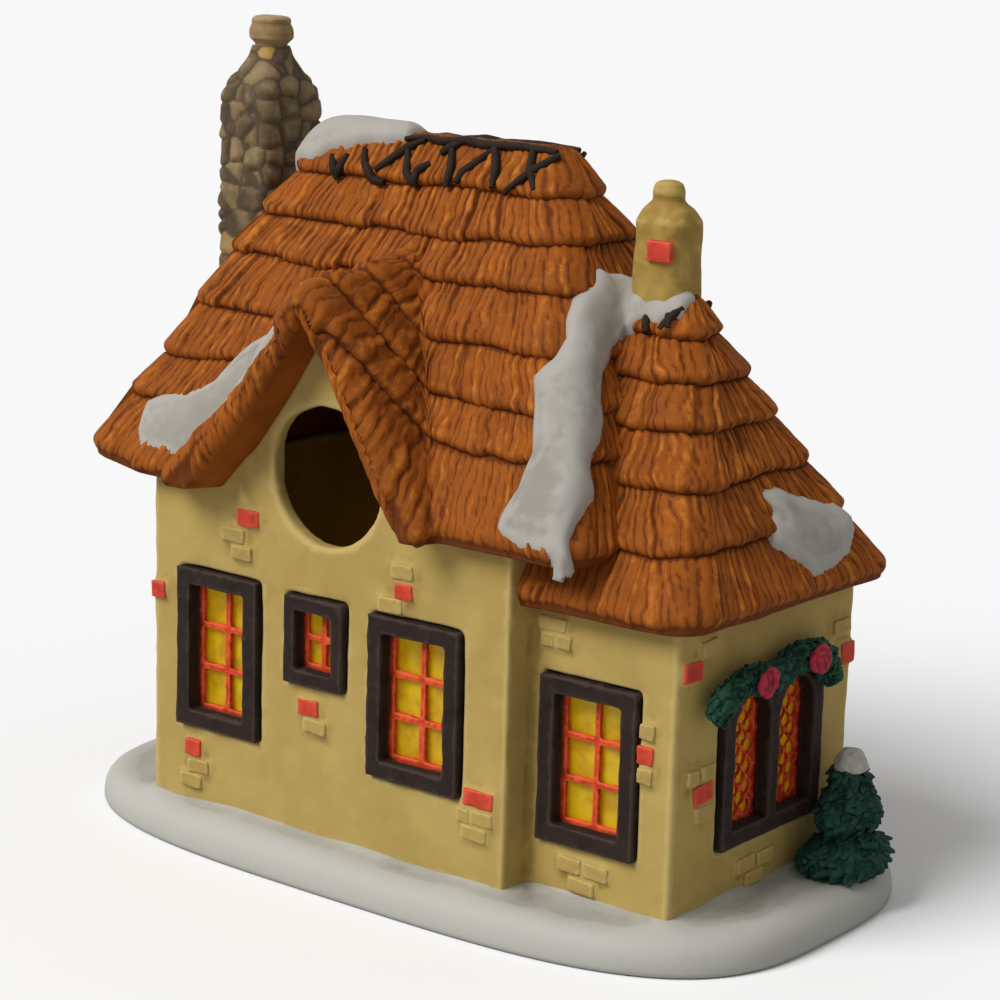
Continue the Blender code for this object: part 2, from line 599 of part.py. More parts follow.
def windows():
    for specs, side, face in (
            (REAR_WINDOWS, "rear", RIDGE_Y - MAIN_HALF_DEPTH),
            (WING_REAR_WINDOWS, "rear", RIDGE_Y - WING_HALF_DEPTH),
            (FRONT_WINDOWS, "front", RIDGE_Y + MAIN_HALF_DEPTH),
            (WING_FRONT_WINDOWS, "front", RIDGE_Y + WING_HALF_DEPTH)):
        for name, spec in specs.items():
            window(name, spec, side, face)
    arched_window()
    x, z, width = (value * MM for value in WING_FRONT_WINDOWS["wing_front_window"][:3])
    face = RIDGE_Y + WING_HALF_DEPTH
    half = width / 2 + SILL_PAST_FRAME
    box("wing_front_window_sill", (x - half, face + GAP, z - GAP - SILL_DROP), (x + half, face + SILL_PROUD, z - GAP),
        FRAME_PAINT)


# Front door, hung in a dark frame above a stone step.
def door():
    face = RIDGE_Y + MAIN_HALF_DEPTH
    bottom = WALL_FOOT + DOOR_SILL
    outer = arch(-DOOR_X, bottom, DOOR_SPRING_Z, DOOR_WIDTH + 2 * DOOR_BORDER)
    inner = arch(-DOOR_X, bottom + DOOR_BORDER / 2, DOOR_SPRING_Z, DOOR_WIDTH)
    leaf = arch(-DOOR_X, bottom + DOOR_BORDER / 2 + GAP, DOOR_SPRING_Z, DOOR_WIDTH - 2 * GAP)
    frame = plate("front_door_frame", outer, [inner], -FRAME_PROUD, WALL, FRAME_PAINT)
    panel = plate("front_door", leaf, [], WALL - DOOR_THICKNESS, WALL, DOOR_PAINT)
    for piece in (frame, panel):
        place(piece, "front", face)
    bm = bmesh.new()
    bmesh.ops.create_uvsphere(bm, u_segments=12, v_segments=8, radius=KNOB_DIAMETER / 2)
    knob = add("front_door_knob", bm, KNOB_PAINT, smooth=True)
    door_front = face - WALL + DOOR_THICKNESS
    knob.location = (DOOR_X + DOOR_WIDTH * 0.32, door_front + GAP + KNOB_DIAMETER / 2, (bottom + DOOR_SPRING_Z) / 2)
    half = DOOR_WIDTH / 2 + DOOR_BORDER
    box("front_door_step", (DOOR_X - half, face + GAP, WALL_FOOT),
        (DOOR_X + half, face + GAP + STEP_DEPTH, WALL_FOOT + STEP_HEIGHT - GAP), STONE_PAINT)


# Chimneys.
def stone_ring(wide, deep, corner, z, sunk=0.0, turn=0):
    """List one level of the stonework. Every other point is a joint, set back by sunk."""
    count = 2 * CHIMNEY_STONES_ROUND
    points = []
    for inset in (sunk, 0.0):
        outline = np.array(rounded_square(CHIMNEY_X, CHIMNEY_MIDDLE_Y, wide - inset, deep - inset, corner, z))
        closed = np.vstack([outline, outline[:1]])
        along = np.concatenate([[0.0], np.cumsum(np.linalg.norm(np.diff(closed, axis=0), axis=1))])
        stops = np.arange(count) / count * along[-1]
        points.append(np.stack([np.interp(stops, along, closed[:, axis]) for axis in range(3)], axis=1))
    joint, face = points
    return [tuple(joint[i] if (i + turn) % 2 == 0 else face[i]) for i in range(count)]


def stone_chimney():
    half_x, half_y = CHIMNEY_WIDTH / 2, CHIMNEY_DEPTH / 2
    neck = CHIMNEY_NECK_WIDTH / 2
    stone = (CHIMNEY_SHOULDER_Z - 3 * MM - WALL_FOOT) / CHIMNEY_STONE_ROWS
    loops = [stone_ring(half_x, half_y, CHIMNEY_CORNER, WALL_FOOT)]
    for row in range(CHIMNEY_STONE_ROWS):
        foot = WALL_FOOT + row * stone
        for share in (0.24, 0.76):
            loops.append(stone_ring(half_x, half_y, CHIMNEY_CORNER, foot + share * stone, CHIMNEY_JOINT_DEPTH, row % 2))
        joint = half_x - CHIMNEY_JOINT_DEPTH, half_y - CHIMNEY_JOINT_DEPTH
        loops.append(stone_ring(*joint, CHIMNEY_CORNER, foot + stone))
    for share, z in ((0.1, CHIMNEY_SHOULDER_Z), (0.45, CHIMNEY_SHOULDER_Z + 3.4 * MM),
                     (0.8, CHIMNEY_NECK_Z - 2.4 * MM), (1.0, CHIMNEY_NECK_Z)):
        wide, deep = half_x + (neck - half_x) * share, half_y + (neck - half_y) * share
        corner = CHIMNEY_CORNER + (0.8 * neck - CHIMNEY_CORNER) * share
        loops.append(stone_ring(wide, deep, corner, z))
    loft("stone_chimney", loops, STONE_PAINT, smooth=True)
    pot_foot = CHIMNEY_NECK_Z + GAP
    profile = ((0.72, 0.0), (0.74, 0.2), (1.0, 0.34), (1.0, 0.62), (0.9, 0.74), (0.92, 0.96), (0.84, 1.0))
    loops = [[(CHIMNEY_X + x, CHIMNEY_MIDDLE_Y + y, pot_foot + height * POT_HEIGHT)
              for x, y in circle(0, 0, radius * POT_RADIUS, 28)] for radius, height in profile]
    loft("chimney_pot", loops, POT_PAINT, smooth=True)


def small_chimney():
    half, neck = FLUE_WIDTH / 2, FLUE_NECK_RADIUS
    rise = FLUE_TOP_Z - FLUE_SHOULDER_Z
    loops = []
    for wide, z in ((half * 1.06, WING_RIDGE_Z - 4 * MM), (half, WING_RIDGE_Z + 9 * MM), (half, FLUE_SHOULDER_Z),
                    (half * 0.8, FLUE_SHOULDER_Z + 0.28 * rise), (neck * 1.02, FLUE_SHOULDER_Z + 0.5 * rise),
                    (neck * 1.12, FLUE_SHOULDER_Z + 0.72 * rise), (neck * 0.9, FLUE_SHOULDER_Z + 0.93 * rise),
                    (neck * 0.45, FLUE_TOP_Z)):
        corner = min(FLUE_CORNER, 0.95 * wide)
        loops.append(rounded_square(FLUE_X, RIDGE_Y, wide, wide, corner, z))
    flue = loft("small_chimney", loops, WALL_PAINT, smooth=True)
    boolean(flue, wing_hull("wing_clear", GAP), "DIFFERENCE")


# Greenery.
def tree():
    profile = ((0.72, 0.0), (1.0, 0.10), (0.98, 0.20), (0.58, 0.34), (0.46, 0.42), (0.68, 0.50),
               (0.70, 0.60), (0.62, 0.72), (0.50, 0.84), (0.40, 1.0))
    loops = [[(TREE_X + x * TREE_HALF_WIDTH, TREE_Y + y * TREE_HALF_LENGTH, WALL_FOOT + height * TREE_HEIGHT)
              for x, y in circle(0, 0, radius, 24)] for radius, height in profile]
    loft("tree", loops, GREEN_PAINT, smooth=True)
    foot = WALL_FOOT + TREE_HEIGHT + GAP
    profile = ((0.42, 0.0), (0.40, 0.3), (0.26, 0.75), (0.1, 1.0))
    loops = [[(TREE_X + x * TREE_HALF_WIDTH, TREE_Y + y * TREE_HALF_LENGTH * 0.8, foot + height * TREE_SNOW)
              for x, y in circle(0, 0, radius, 24)] for radius, height in profile]
    loft("tree_snow", loops, SNOW_PAINT, smooth=True)


def garland_line():
    """Give the garland's middle line over both arches as y and z, from its left tail to its right."""
    points = [(-28.6, 53.2), (-25.8, 57.6), (-16.6, 60.0), (-6.4, 58.4), (2.8, 60.8), (11.4, 60.6),
              (16.8, 56.0), (17.2, 52.4)]
    knots = np.array(points) * MM
    steps = np.linspace(0, len(knots) - 1, 30)
    return np.column_stack([np.interp(steps, range(len(knots)), knots[:, axis]) for axis in (0, 1)])


def garland():
    line = garland_line()
    ways = np.gradient(line, axis=0)
    loops = []
    back = WING_RIGHT + FRAME_PROUD + GAP
    for i, ((y, z), (way_y, way_z)) in enumerate(zip(line, ways)):
        length = math.hypot(way_y, way_z)
        side_y, side_z = -way_z / length, way_y / length
        half = GARLAND_HALF_WIDTH * (0.55 + 0.45 * math.sin(math.pi * (i + 1) / (len(line) + 1)) ** 0.35)
        loop = []
        for j in range(10):
            a = 2 * math.pi * j / 10
            out = GARLAND_DEPTH * (0.5 + 0.5 * math.sin(a))
            loop.append((back + out, y + side_y * half * math.cos(a), z + side_z * half * math.cos(a)))
        loops.append(loop)
    loft("garland", loops, GREEN_PAINT, smooth=True)
    for name, y, z in (("left_bow", -14.5, 59.6), ("right_bow", 6.0, 60.6)):
        bm = bmesh.new()
        bmesh.ops.create_uvsphere(bm, u_segments=14, v_segments=9, radius=1.0)
        for vert in bm.verts:
            vert.co = (vert.co.x * BOW_DEPTH / 2, vert.co.y * BOW_RADIUS, vert.co.z * BOW_RADIUS * 0.85)
        bow = add(name, bm, BOW_PAINT, smooth=True)
        bow.location = (back + GARLAND_DEPTH + GAP + BOW_DEPTH / 2, y * MM, z * MM)


# Snow patches: each is the layer over the thatch that lies inside an outline seen from above.
def snow_patch(name, outline, hull, foot_z):
    """Lay snow over one roof hull above foot_z, inside an outline of x and y in millimetres."""
    patch = hull(name, GAP + THATCH_STEP + SNOW, 0.0, SNOW_PAINT)
    low = [(x * MM, y * MM, foot_z) for x, y in outline]
    high = [(x * MM, y * MM, CHIMNEY_NECK_Z) for x, y in outline]
    boolean(patch, loft(f"{name}_outline", [low, high]), "INTERSECT")
    boolean(patch, hull(f"{name}_bed", GAP), "DIFFERENCE")
    return patch


def snow():
    snow_patch("ridge_snow", [(-60, -9), (-50, -10.5), (-38, -8), (-27, -6), (-23, -2), (-28, 3), (-40, 6), (-52, 6),
                              (-60, 6)], main_hull, MAIN_WALL_TOP)
    gable_patch = snow_patch("gable_snow", [(-17, -54), (-14.5, -44), (-19, -41), (-25, -40), (-30, -41.5),
                                            (-34, -46), (-33, -53)], gable_hull, MAIN_WALL_TOP)
    boolean(gable_patch, main_hull("gable_snow_limit", GAP), "DIFFERENCE")
    valley_patch = snow_patch("valley_snow", [(33, -6), (32.5, -14), (34.5, -27), (36, -34), (39, -41), (40.5, -49),
                                              (48, -50.5), (59, -49.5), (59.5, -43), (56, -36), (50, -25), (44, -14),
                                              (39, -6)], main_hull, MAIN_WALL_TOP)
    boolean(valley_patch, wing_hull("valley_snow_limit", GAP), "DIFFERENCE")
    snow_patch("wing_snow", [(76.5, -4), (80.5, 0), (84.3, 6.5), (84.8, 17), (83.5, 24), (80.5, 28), (79, 20),
                             (77.5, 8)], wing_hull, WING_WALL_TOP)
    snow_patch("front_roof_snow", [(-30, 25), (-18, 22), (-4, 26), (3, 33), (-2, 43), (-14, 47), (-27, 44),
                                   (-34, 35)], main_hull, MAIN_WALL_TOP)


snow_base()
walls()
roofs()
windows()
door()
stone_chimney()
small_chimney()
tree()
garland()
snow()
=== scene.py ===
import math

import bmesh
import bpy
import numpy as np
from mathutils import Matrix, Vector


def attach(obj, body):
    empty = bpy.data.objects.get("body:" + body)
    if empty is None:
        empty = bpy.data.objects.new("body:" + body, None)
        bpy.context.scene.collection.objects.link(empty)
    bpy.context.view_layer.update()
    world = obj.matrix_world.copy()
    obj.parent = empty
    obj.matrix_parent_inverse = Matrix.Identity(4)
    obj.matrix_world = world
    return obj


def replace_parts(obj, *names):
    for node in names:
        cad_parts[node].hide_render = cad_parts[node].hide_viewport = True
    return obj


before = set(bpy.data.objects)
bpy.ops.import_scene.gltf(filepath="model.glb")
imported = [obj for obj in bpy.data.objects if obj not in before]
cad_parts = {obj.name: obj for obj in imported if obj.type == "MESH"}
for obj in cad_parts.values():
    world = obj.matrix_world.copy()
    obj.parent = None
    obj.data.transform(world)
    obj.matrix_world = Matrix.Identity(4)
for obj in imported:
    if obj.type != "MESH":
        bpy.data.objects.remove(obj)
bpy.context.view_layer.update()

# The foot of the cottage is a low bank of snow in white bisque porcelain, cast in one with the house.
# Its rim is rounded by hand, its top rolls a little, and it climbs softly against the walls.
# Here too is how the porcelain is pressed, softened and given its fired matt paint.
MM = 0.001
BANK_LENGTH = 198 * MM
BANK_DEPTH = 113 * MM
BANK_HEIGHT = 9 * MM
BANK_SQUARENESS = 3.4
MAIN_FOOT = (-64.7 * MM, 42.0 * MM, -46.4 * MM, 41.7 * MM)
WING_FOOT = (42.0 * MM, 79.7 * MM, -37.65 * MM, 32.95 * MM)
CHIMNEY_FOOT = (-82.4 * MM, -65.0 * MM, -8.35 * MM, 13.15 * MM)


def ease(value, low, high):
    """Give 0 below low, 1 above high, and a soft slope between them."""
    share = np.clip((np.asarray(value, float) - low) / (high - low), 0, 1)
    return share * share * (3 - 2 * share)


def lumps(where, size, seed):
    """Give soft hand-pressed hills, from -1 to 1, each about as wide as size."""
    cell = np.atleast_2d(where) / size
    corner = np.floor(cell).astype(np.int64)
    part = cell - corner
    part = part * part * (3 - 2 * part)
    total = np.zeros(len(cell))
    for step in np.ndindex(2, 2, 2):
        at = corner + np.array(step)
        key = at[:, 0] * 73856093 ^ at[:, 1] * 19349663 ^ at[:, 2] * 83492791 ^ (seed + 1) * 26544357
        key = ((key ^ (key >> 13)) * 1274126177) & 0x7FFFFFFF
        key = ((key ^ (key >> 15)) * 668265263) & 0x7FFFFFFF
        share = np.prod(np.where(np.array(step) == 1, part, 1 - part), axis=1)
        total += share * ((key % 20001) / 10000.0 - 1)
    return total


def stand(name, data):
    """Put new data into the scene as an object."""
    piece = bpy.data.objects.new(name, data)
    bpy.context.scene.collection.objects.link(piece)
    return piece


def cast(name, points, faces, material, smooth=True):
    """Make one porcelain piece from its points and faces."""
    mesh = bpy.data.meshes.new(name)
    mesh.from_pydata([tuple(p) for p in np.asarray(points, float)], [], faces)
    mesh.update()
    piece = stand(name, mesh)
    mesh.materials.append(material)
    mesh.shade_smooth() if smooth else mesh.shade_flat()
    return piece


def points_of(piece):
    """Give a piece's points and the directions that they face."""
    count = len(piece.data.vertices)
    points, facing = np.zeros(count * 3), np.zeros(count * 3)
    piece.data.vertices.foreach_get("co", points)
    piece.data.vertex_normals.foreach_get("vector", facing)
    return points.reshape(-1, 3), facing.reshape(-1, 3)


def press(piece, points):
    """Put a piece's points where they are told."""
    piece.data.vertices.foreach_set("co", np.asarray(points, np.float32).ravel())
    piece.data.update()


def note(piece, name, values):
    """Keep one number for each point of a piece, for its paint."""
    attribute = piece.data.attributes.get(name) or piece.data.attributes.new(name, "FLOAT", "POINT")
    attribute.data.foreach_set("value", np.asarray(values, np.float32).ravel())


def find_hollows(piece, turns, depth):
    """Note how far each point lies in a hollow (up to 1) or stands on an edge (down to -1). The paint darkens
    hollows by it, partly as a wash and partly as painted shade.
    """
    points, facing = points_of(piece)
    edges = np.zeros(len(piece.data.edges) * 2, np.int32)
    piece.data.edges.foreach_get("vertices", edges)
    a, b = edges.reshape(-1, 2).T
    near = np.maximum(np.bincount(a, minlength=len(points)) + np.bincount(b, minlength=len(points)), 1)
    soft = points.copy()
    for _ in range(turns):
        total = np.column_stack([
            np.bincount(a, soft[b, axis], len(points)) + np.bincount(b, soft[a, axis], len(points))
            for axis in range(3)
        ])
        soft = 0.3 * soft + 0.7 * total / near[:, None]
    note(piece, "hollow", np.clip(((soft - points) * facing).sum(1) / depth, -1, 1))


def set_down(piece, slot, *nodes):
    """Fix a piece to the house and say which plain solids it stands for. The slot is not used."""
    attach(piece, "root")
    if nodes:
        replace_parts(piece, *nodes)
    return piece


def put(tree, kind, wires=(), **settings):
    """Add one node, set what it is told, and wire or set each of its inputs."""
    node = tree.nodes.new(kind)
    for name, value in settings.items():
        setattr(node, name, value)
    for name, value in dict(wires).items():
        if isinstance(value, bpy.types.NodeSocket):
            tree.links.new(value, node.inputs[name])
        else:
            node.inputs[name].default_value = value
    return node


def reckon(tree, operation, *values):
    """Add one step of arithmetic and give what comes out."""
    return put(tree, "ShaderNodeMath", dict(enumerate(values)), operation=operation).outputs[0]


def plus(tree, first, second):
    return reckon(tree, "ADD", first, second)


def less(tree, first, second):
    return reckon(tree, "SUBTRACT", first, second)


def times(tree, first, second):
    return reckon(tree, "MULTIPLY", first, second)


def slope(tree, value, low, high, start=0.0, end=1.0):
    """Add a soft step that goes from start to end as the value goes from low to high."""
    wires = {"Value": value, "From Min": low, "From Max": high, "To Min": start, "To Max": end}
    return put(tree, "ShaderNodeMapRange", wires, interpolation_type="SMOOTHSTEP").outputs[0]


def blend_colours(tree, share, first, second):
    """Add a mix of two colours."""
    return put(tree, "ShaderNodeMix", {0: share, 6: first, 7: second}, data_type="RGBA").outputs[2]


def noise(tree, wires):
    """Add a cloudy pattern and give its number at each place."""
    return put(tree, "ShaderNodeTexNoise", wires).outputs["Fac"]


def carried(tree, name):
    """Read, in a paint, a number that was noted on the points."""
    return put(tree, "ShaderNodeAttribute", attribute_name=name).outputs["Fac"]


def open_group(name, kind, inputs, outputs):
    """Open a node group with named inputs and outputs."""
    group = bpy.data.node_groups.new(name, kind)
    for label, socket, default in inputs:
        made = group.interface.new_socket(label, in_out="INPUT", socket_type=socket)
        if default is not None:
            made.default_value = default
    for label, socket in outputs:
        group.interface.new_socket(label, in_out="OUTPUT", socket_type=socket)
    return group, group.nodes.new("NodeGroupInput").outputs, group.nodes.new("NodeGroupOutput")


def bisque_grain_group():
    """The dry grain of unglazed porcelain: a fine tooth over soft unevenness, and faint specks."""
    group, given, out = open_group(
        "bisque_grain", "ShaderNodeTree",
        [("Place", "NodeSocketVector", None), ("Tooth", "NodeSocketFloat", 1.0)],
        [("Height", "NodeSocketFloat"), ("Speck", "NodeSocketFloat")])
    fine = noise(group, {"Vector": given["Place"], "Scale": 2200.0, "Detail": 3.0})
    soft = noise(group, {"Vector": given["Place"], "Scale": 420.0, "Detail": 2.0})
    height = plus(group, times(group, fine, given["Tooth"]), soft)
    group.links.new(height, out.inputs["Height"])
    group.links.new(slope(group, fine, 0.56, 0.74), out.inputs["Speck"])
    return group


def brushed_paint_group():
    """Paint brushed on by hand: uneven coat, a dark wash in hollows that is also painted shade, a pale rub on
    the edges.
    """
    colour, number = "NodeSocketColor", "NodeSocketFloat"
    group, given, out = open_group(
        "brushed_paint", "ShaderNodeTree",
        [("Place", "NodeSocketVector", None), ("Coat", colour, None), ("Wash And Shade", colour, None),
         ("Rub", colour, None), ("Hollow", number, 0.0), ("Patchiness", number, 0.4),
         ("Patch Size", number, 70.0)],
        [("Color", colour)])
    broad = noise(group, {"Vector": given["Place"], "Scale": given["Patch Size"], "Detail": 3.0,
                          "Roughness": 0.6})
    small = noise(group, {"Vector": given["Place"], "Scale": 480.0, "Detail": 2.0})
    thin = times(group, slope(group, broad, 0.38, 0.68), given["Patchiness"])
    coat = blend_colours(group, thin, given["Coat"], given["Wash And Shade"])
    ragged = times(group, less(group, small, 0.5), 0.9)
    # Hollows take the wash colour: partly a real wash, partly painted shade.
    sunk = plus(group, given["Hollow"], ragged)
    dark = blend_colours(group, slope(group, sunk, 0.12, 0.85, 0.0, 0.85), coat, given["Wash And Shade"])
    proud = slope(group, sunk, -0.15, -0.8, 0.0, 0.8)
    group.links.new(blend_colours(group, proud, dark, given["Rub"]), out.inputs["Color"])
    return group


BISQUE_GRAIN = bisque_grain_group()
BRUSHED_PAINT = brushed_paint_group()


def srgb(red, green, blue):
    """Give a colour, read from 0 to 255 as a screen shows it, as light."""
    light = [((c / 255 + 0.055) / 1.055) ** 2.4 if c > 10 else c / 255 / 12.92 for c in (red, green, blue)]
    return (*light, 1.0)


def blank_paint(name):
    """Start a paint with nothing in it."""
    material = bpy.data.materials.new(name)
    material.use_nodes = True
    material.node_tree.nodes.clear()
    return material, material.node_tree


def fired_paint(name, coat, wash_and_shade, rub, roughness=0.82, patchiness=0.35, patch_size=70.0, tooth=1.0,
                bump=0.12, sheen=0.3, inside_shade=None):
    """Matt paint fired on bisque. Inside shade is painted shade: the near-black colour of the unlit inside,
    where a piece has one.
    """
    material, tree = blank_paint(name)
    place = put(tree, "ShaderNodeTexCoord").outputs["Object"]
    # The hollow number darkens the paint, partly as a wash and partly as painted shade.
    paint = put(tree, "ShaderNodeGroup", {
        "Place": place, "Hollow": carried(tree, "hollow"), "Coat": srgb(*coat), "Wash And Shade": srgb(*wash_and_shade),
        "Rub": srgb(*rub), "Patchiness": patchiness, "Patch Size": patch_size}, node_tree=BRUSHED_PAINT)
    grain = put(tree, "ShaderNodeGroup", {"Place": place, "Tooth": tooth}, node_tree=BISQUE_GRAIN)
    raised = put(tree, "ShaderNodeBump", {"Height": grain.outputs["Height"], "Strength": bump,
                                          "Distance": 0.25 * MM})
    colour = paint.outputs["Color"]
    if inside_shade is not None:
        colour = blend_colours(tree, carried(tree, "inside"), colour, srgb(*inside_shade))
    rough = slope(tree, grain.outputs["Speck"], 0.0, 1.0, roughness, roughness - 0.12)
    shader = put(tree, "ShaderNodeBsdfPrincipled", {
        "Base Color": colour, "Roughness": rough, "Normal": raised.outputs["Normal"],
        "Specular IOR Level": sheen})
    put(tree, "ShaderNodeOutputMaterial", {"Surface": shader.outputs[0]})
    return material


SNOW_WHITE = fired_paint("snow_white", (168, 167, 158), (142, 139, 129), (180, 179, 171),
                         roughness=0.7, patchiness=0.3, patch_size=45.0, bump=0.1)


def rim(half_x, half_y, angle):
    """Give points on the bank's rounded oblong outline."""
    power = 2 / BANK_SQUARENESS
    c, s = np.cos(angle), np.sin(angle)
    across = half_x * np.sign(c) * np.abs(c) ** power
    along = half_y * np.sign(s) * np.abs(s) ** power
    return np.column_stack([across, along])


def away_from(foot, x, y):
    """Give how far points lie outside one oblong foot."""
    left, right, rear, front = foot
    off_x = np.maximum(np.maximum(left - x, x - right), 0)
    off_y = np.maximum(np.maximum(rear - y, y - front), 0)
    return np.hypot(off_x, off_y)


def snow_bank():
    """Draw the bank as rings: under its rim, over it, and across its top to the middle."""
    around = np.linspace(0, 2 * math.pi, 360, endpoint=False)
    profile = np.array([(8.0, 0.0), (1.4, 0.0), (0.5, 0.5), (0.1, 1.5), (0.0, 3.2), (0.25, 4.9), (0.8, 6.3),
                        (1.7, 7.5), (2.9, 8.4), (4.4, 8.95)]) * MM
    steps = np.linspace(0, 1, 46)[1:-1]
    half_x, half_y = BANK_LENGTH / 2, BANK_DEPTH / 2
    rings = [np.column_stack([rim(half_x - inset, half_y - inset, around), np.full(360, z)])
             for inset, z in profile]
    reach_x, reach_y = half_x - profile[-1][0], half_y - profile[-1][0]
    rings += [np.column_stack([rim(reach_x * (1 - s), reach_y * (1 - s), around), np.full(360, BANK_HEIGHT)])
              for s in steps]
    points = np.vstack(rings + [[[0, 0, BANK_HEIGHT], [0, 0, 0]]])
    x, y, z = points.T
    wavy = lumps(np.column_stack([x, y, 0 * z]), 26 * MM, 3) * 0.5 + lumps(points, 9 * MM, 4) * 0.25
    side = ease(z, 0.4 * MM, 3 * MM)
    pull = 1 - side * (0.35 + 0.45 * wavy) * MM / np.maximum(np.hypot(x, y), 20 * MM)
    gap = np.minimum(np.minimum(away_from(MAIN_FOOT, x, y), away_from(WING_FOOT, x, y)),
                     away_from(CHIMNEY_FOOT, x, y))
    drift = np.exp(-(gap / (3.2 * MM)) ** 1.3) * (1.3 + 0.7 * lumps(points, 14 * MM, 5))
    roll = 0.45 * lumps(points, 17 * MM, 6) + 0.2 * lumps(points, 6 * MM, 7)
    lift = ease(z, 7 * MM, 9 * MM) * (drift + roll) * MM
    points = np.column_stack([x * pull, y * pull, z + lift])
    faces = []
    for ring in range(len(rings) - 1):
        a, b = ring * 360, (ring + 1) * 360
        faces += [(a + i, a + (i + 1) % 360, b + (i + 1) % 360, b + i) for i in range(360)]
    top, last = len(points) - 2, (len(rings) - 1) * 360
    faces += [(last + i, last + (i + 1) % 360, top) for i in range(360)]
    faces += [((i + 1) % 360, i, top + 1) for i in range(360)]
    bank = cast("snow_bank", points, faces, SNOW_WHITE)
    find_hollows(bank, 8, 0.25 * MM)
    return bank


set_down(snow_bank(), "snow", "snow_base")

# The walls are one hollow porcelain shell: the main block with its gable and round lamp hole, and the
# lower wing. They are slip cast, so each corner is round and the skin is lumpy as old plaster, and they
# are painted cream. Their inside is painted near black as painted shade, and shows through the lamp hole.
PLASTER_GRID = 0.72 * MM
MAIN_INSIDE = (-60.3 * MM, 37.7 * MM, -42.0 * MM, 37.3 * MM)
WING_INSIDE = (37.0 * MM, 75.5 * MM, -33.4 * MM, 28.7 * MM)
GABLE_X = -9.0 * MM
GABLE_RUN = 0.62
GABLE_SWEEP = 0.0093
GABLE_WALL_Z = 131.3 * MM
WALL_TOP = 87.6 * MM
WALL_NODES = ("main_rear_wall", "main_front_wall", "main_left_wall", "main_right_wall", "wing_rear_wall",
              "wing_front_wall", "wing_end_wall")
# The last colour given here is painted shade: the near-black of the unlit inside.
CREAM = fired_paint("cream_plaster", (178, 152, 85), (146, 118, 56), (190, 166, 102),
                    patchiness=0.34, patch_size=55.0, inside_shade=(26, 25, 22))


def recast(name, nodes, grid, rounds, lump, lump_size, seed, material):
    """Cast CAD solids as one softened piece: merged, meshed finely, its edges rounded, its skin lumpy."""
    merged = bmesh.new()
    for node in nodes:
        merged.from_mesh(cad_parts[node].data)
    bmesh.ops.remove_doubles(merged, verts=merged.verts, dist=0.001 * MM)
    mesh = bpy.data.meshes.new(name)
    merged.to_mesh(mesh)
    merged.free()
    piece = stand(name, mesh)
    remesh = piece.modifiers.new("remesh", "REMESH")
    remesh.mode = "VOXEL"
    remesh.voxel_size = grid
    rounding = piece.modifiers.new("rounding", "SMOOTH")
    rounding.factor = 0.5
    rounding.iterations = rounds
    settle(piece, material)
    points, facing = points_of(piece)
    hills = lumps(points, lump_size, seed) + 0.45 * lumps(points, lump_size * 0.4, seed + 1)
    press(piece, points + facing * (lump * hills)[:, None])
    find_hollows(piece, 7, 0.35 * grid)
    return piece


def settle(piece, material=None):
    """Turn what a piece's modifiers give into its plain mesh, and paint it where a paint is given."""
    bpy.context.view_layer.update()
    made = bpy.data.meshes.new_from_object(piece.evaluated_get(bpy.context.evaluated_depsgraph_get()))
    piece.modifiers.clear()
    made.name = piece.name
    piece.data = made
    made.shade_smooth()
    if material is not None:
        made.materials.clear()
        made.materials.append(material)
    return piece


def part_off(piece, name, taken):
    """Cut the faces whose middles are taken into a piece of their own."""
    fresh = piece.copy()
    fresh.data = piece.data.copy()
    fresh.name = fresh.data.name = name
    bpy.context.scene.collection.objects.link(fresh)
    for target, wanted in ((fresh, True), (piece, False)):
        mesh = bmesh.new()
        mesh.from_mesh(target.data)
        gone = [f for f in mesh.faces if taken(f.calc_center_median()) != wanted]
        bmesh.ops.delete(mesh, geom=gone, context="FACES")
        mesh.to_mesh(target.data)
        mesh.free()
    return fresh


def within(box, x, y):
    """Say which points lie inside an oblong."""
    return (x > box[0]) & (x < box[1]) & (y > box[2]) & (y < box[3])


def flare(x):
    """Give how far the gable's left slope sweeps out over its straight line toward its foot."""
    return GABLE_SWEEP * np.clip(GABLE_X - x, 0, 50 * MM) ** 2 / MM


def gable_line(x):
    """Give the height of the wall's straight edges under the gable."""
    return GABLE_WALL_Z - np.abs(x - GABLE_X) / GABLE_RUN


def wall_shell():
    shell = recast("main_rear_shell", WALL_NODES, PLASTER_GRID, 6, 0.26 * MM, 8 * MM, 11, CREAM)
    x, y, z = points_of(shell)[0].T
    straight = np.maximum(gable_line(x), WALL_TOP)
    swept = np.maximum(gable_line(x) + flare(x), WALL_TOP)
    z = z + (swept - straight) * ease(z, straight - 12 * MM, straight - 1 * MM) * (y < -38 * MM)
    press(shell, np.column_stack([x, y, z]))
    note(shell, "inside", within(MAIN_INSIDE, x, y) | within(WING_INSIDE, x, y))
    wing = part_off(shell, "wing_shell", lambda middle: middle.x > 42.2 * MM)
    front = part_off(shell, "main_front_shell", lambda middle: middle.y > 2.4 * MM)
    set_down(shell, "cream_wall", "main_rear_wall", "main_left_wall")
    set_down(wing, "cream_wall", "wing_rear_wall", "wing_front_wall", "wing_end_wall")
    set_down(front, "cream_wall", "main_front_wall", "main_right_wall")


wall_shell()

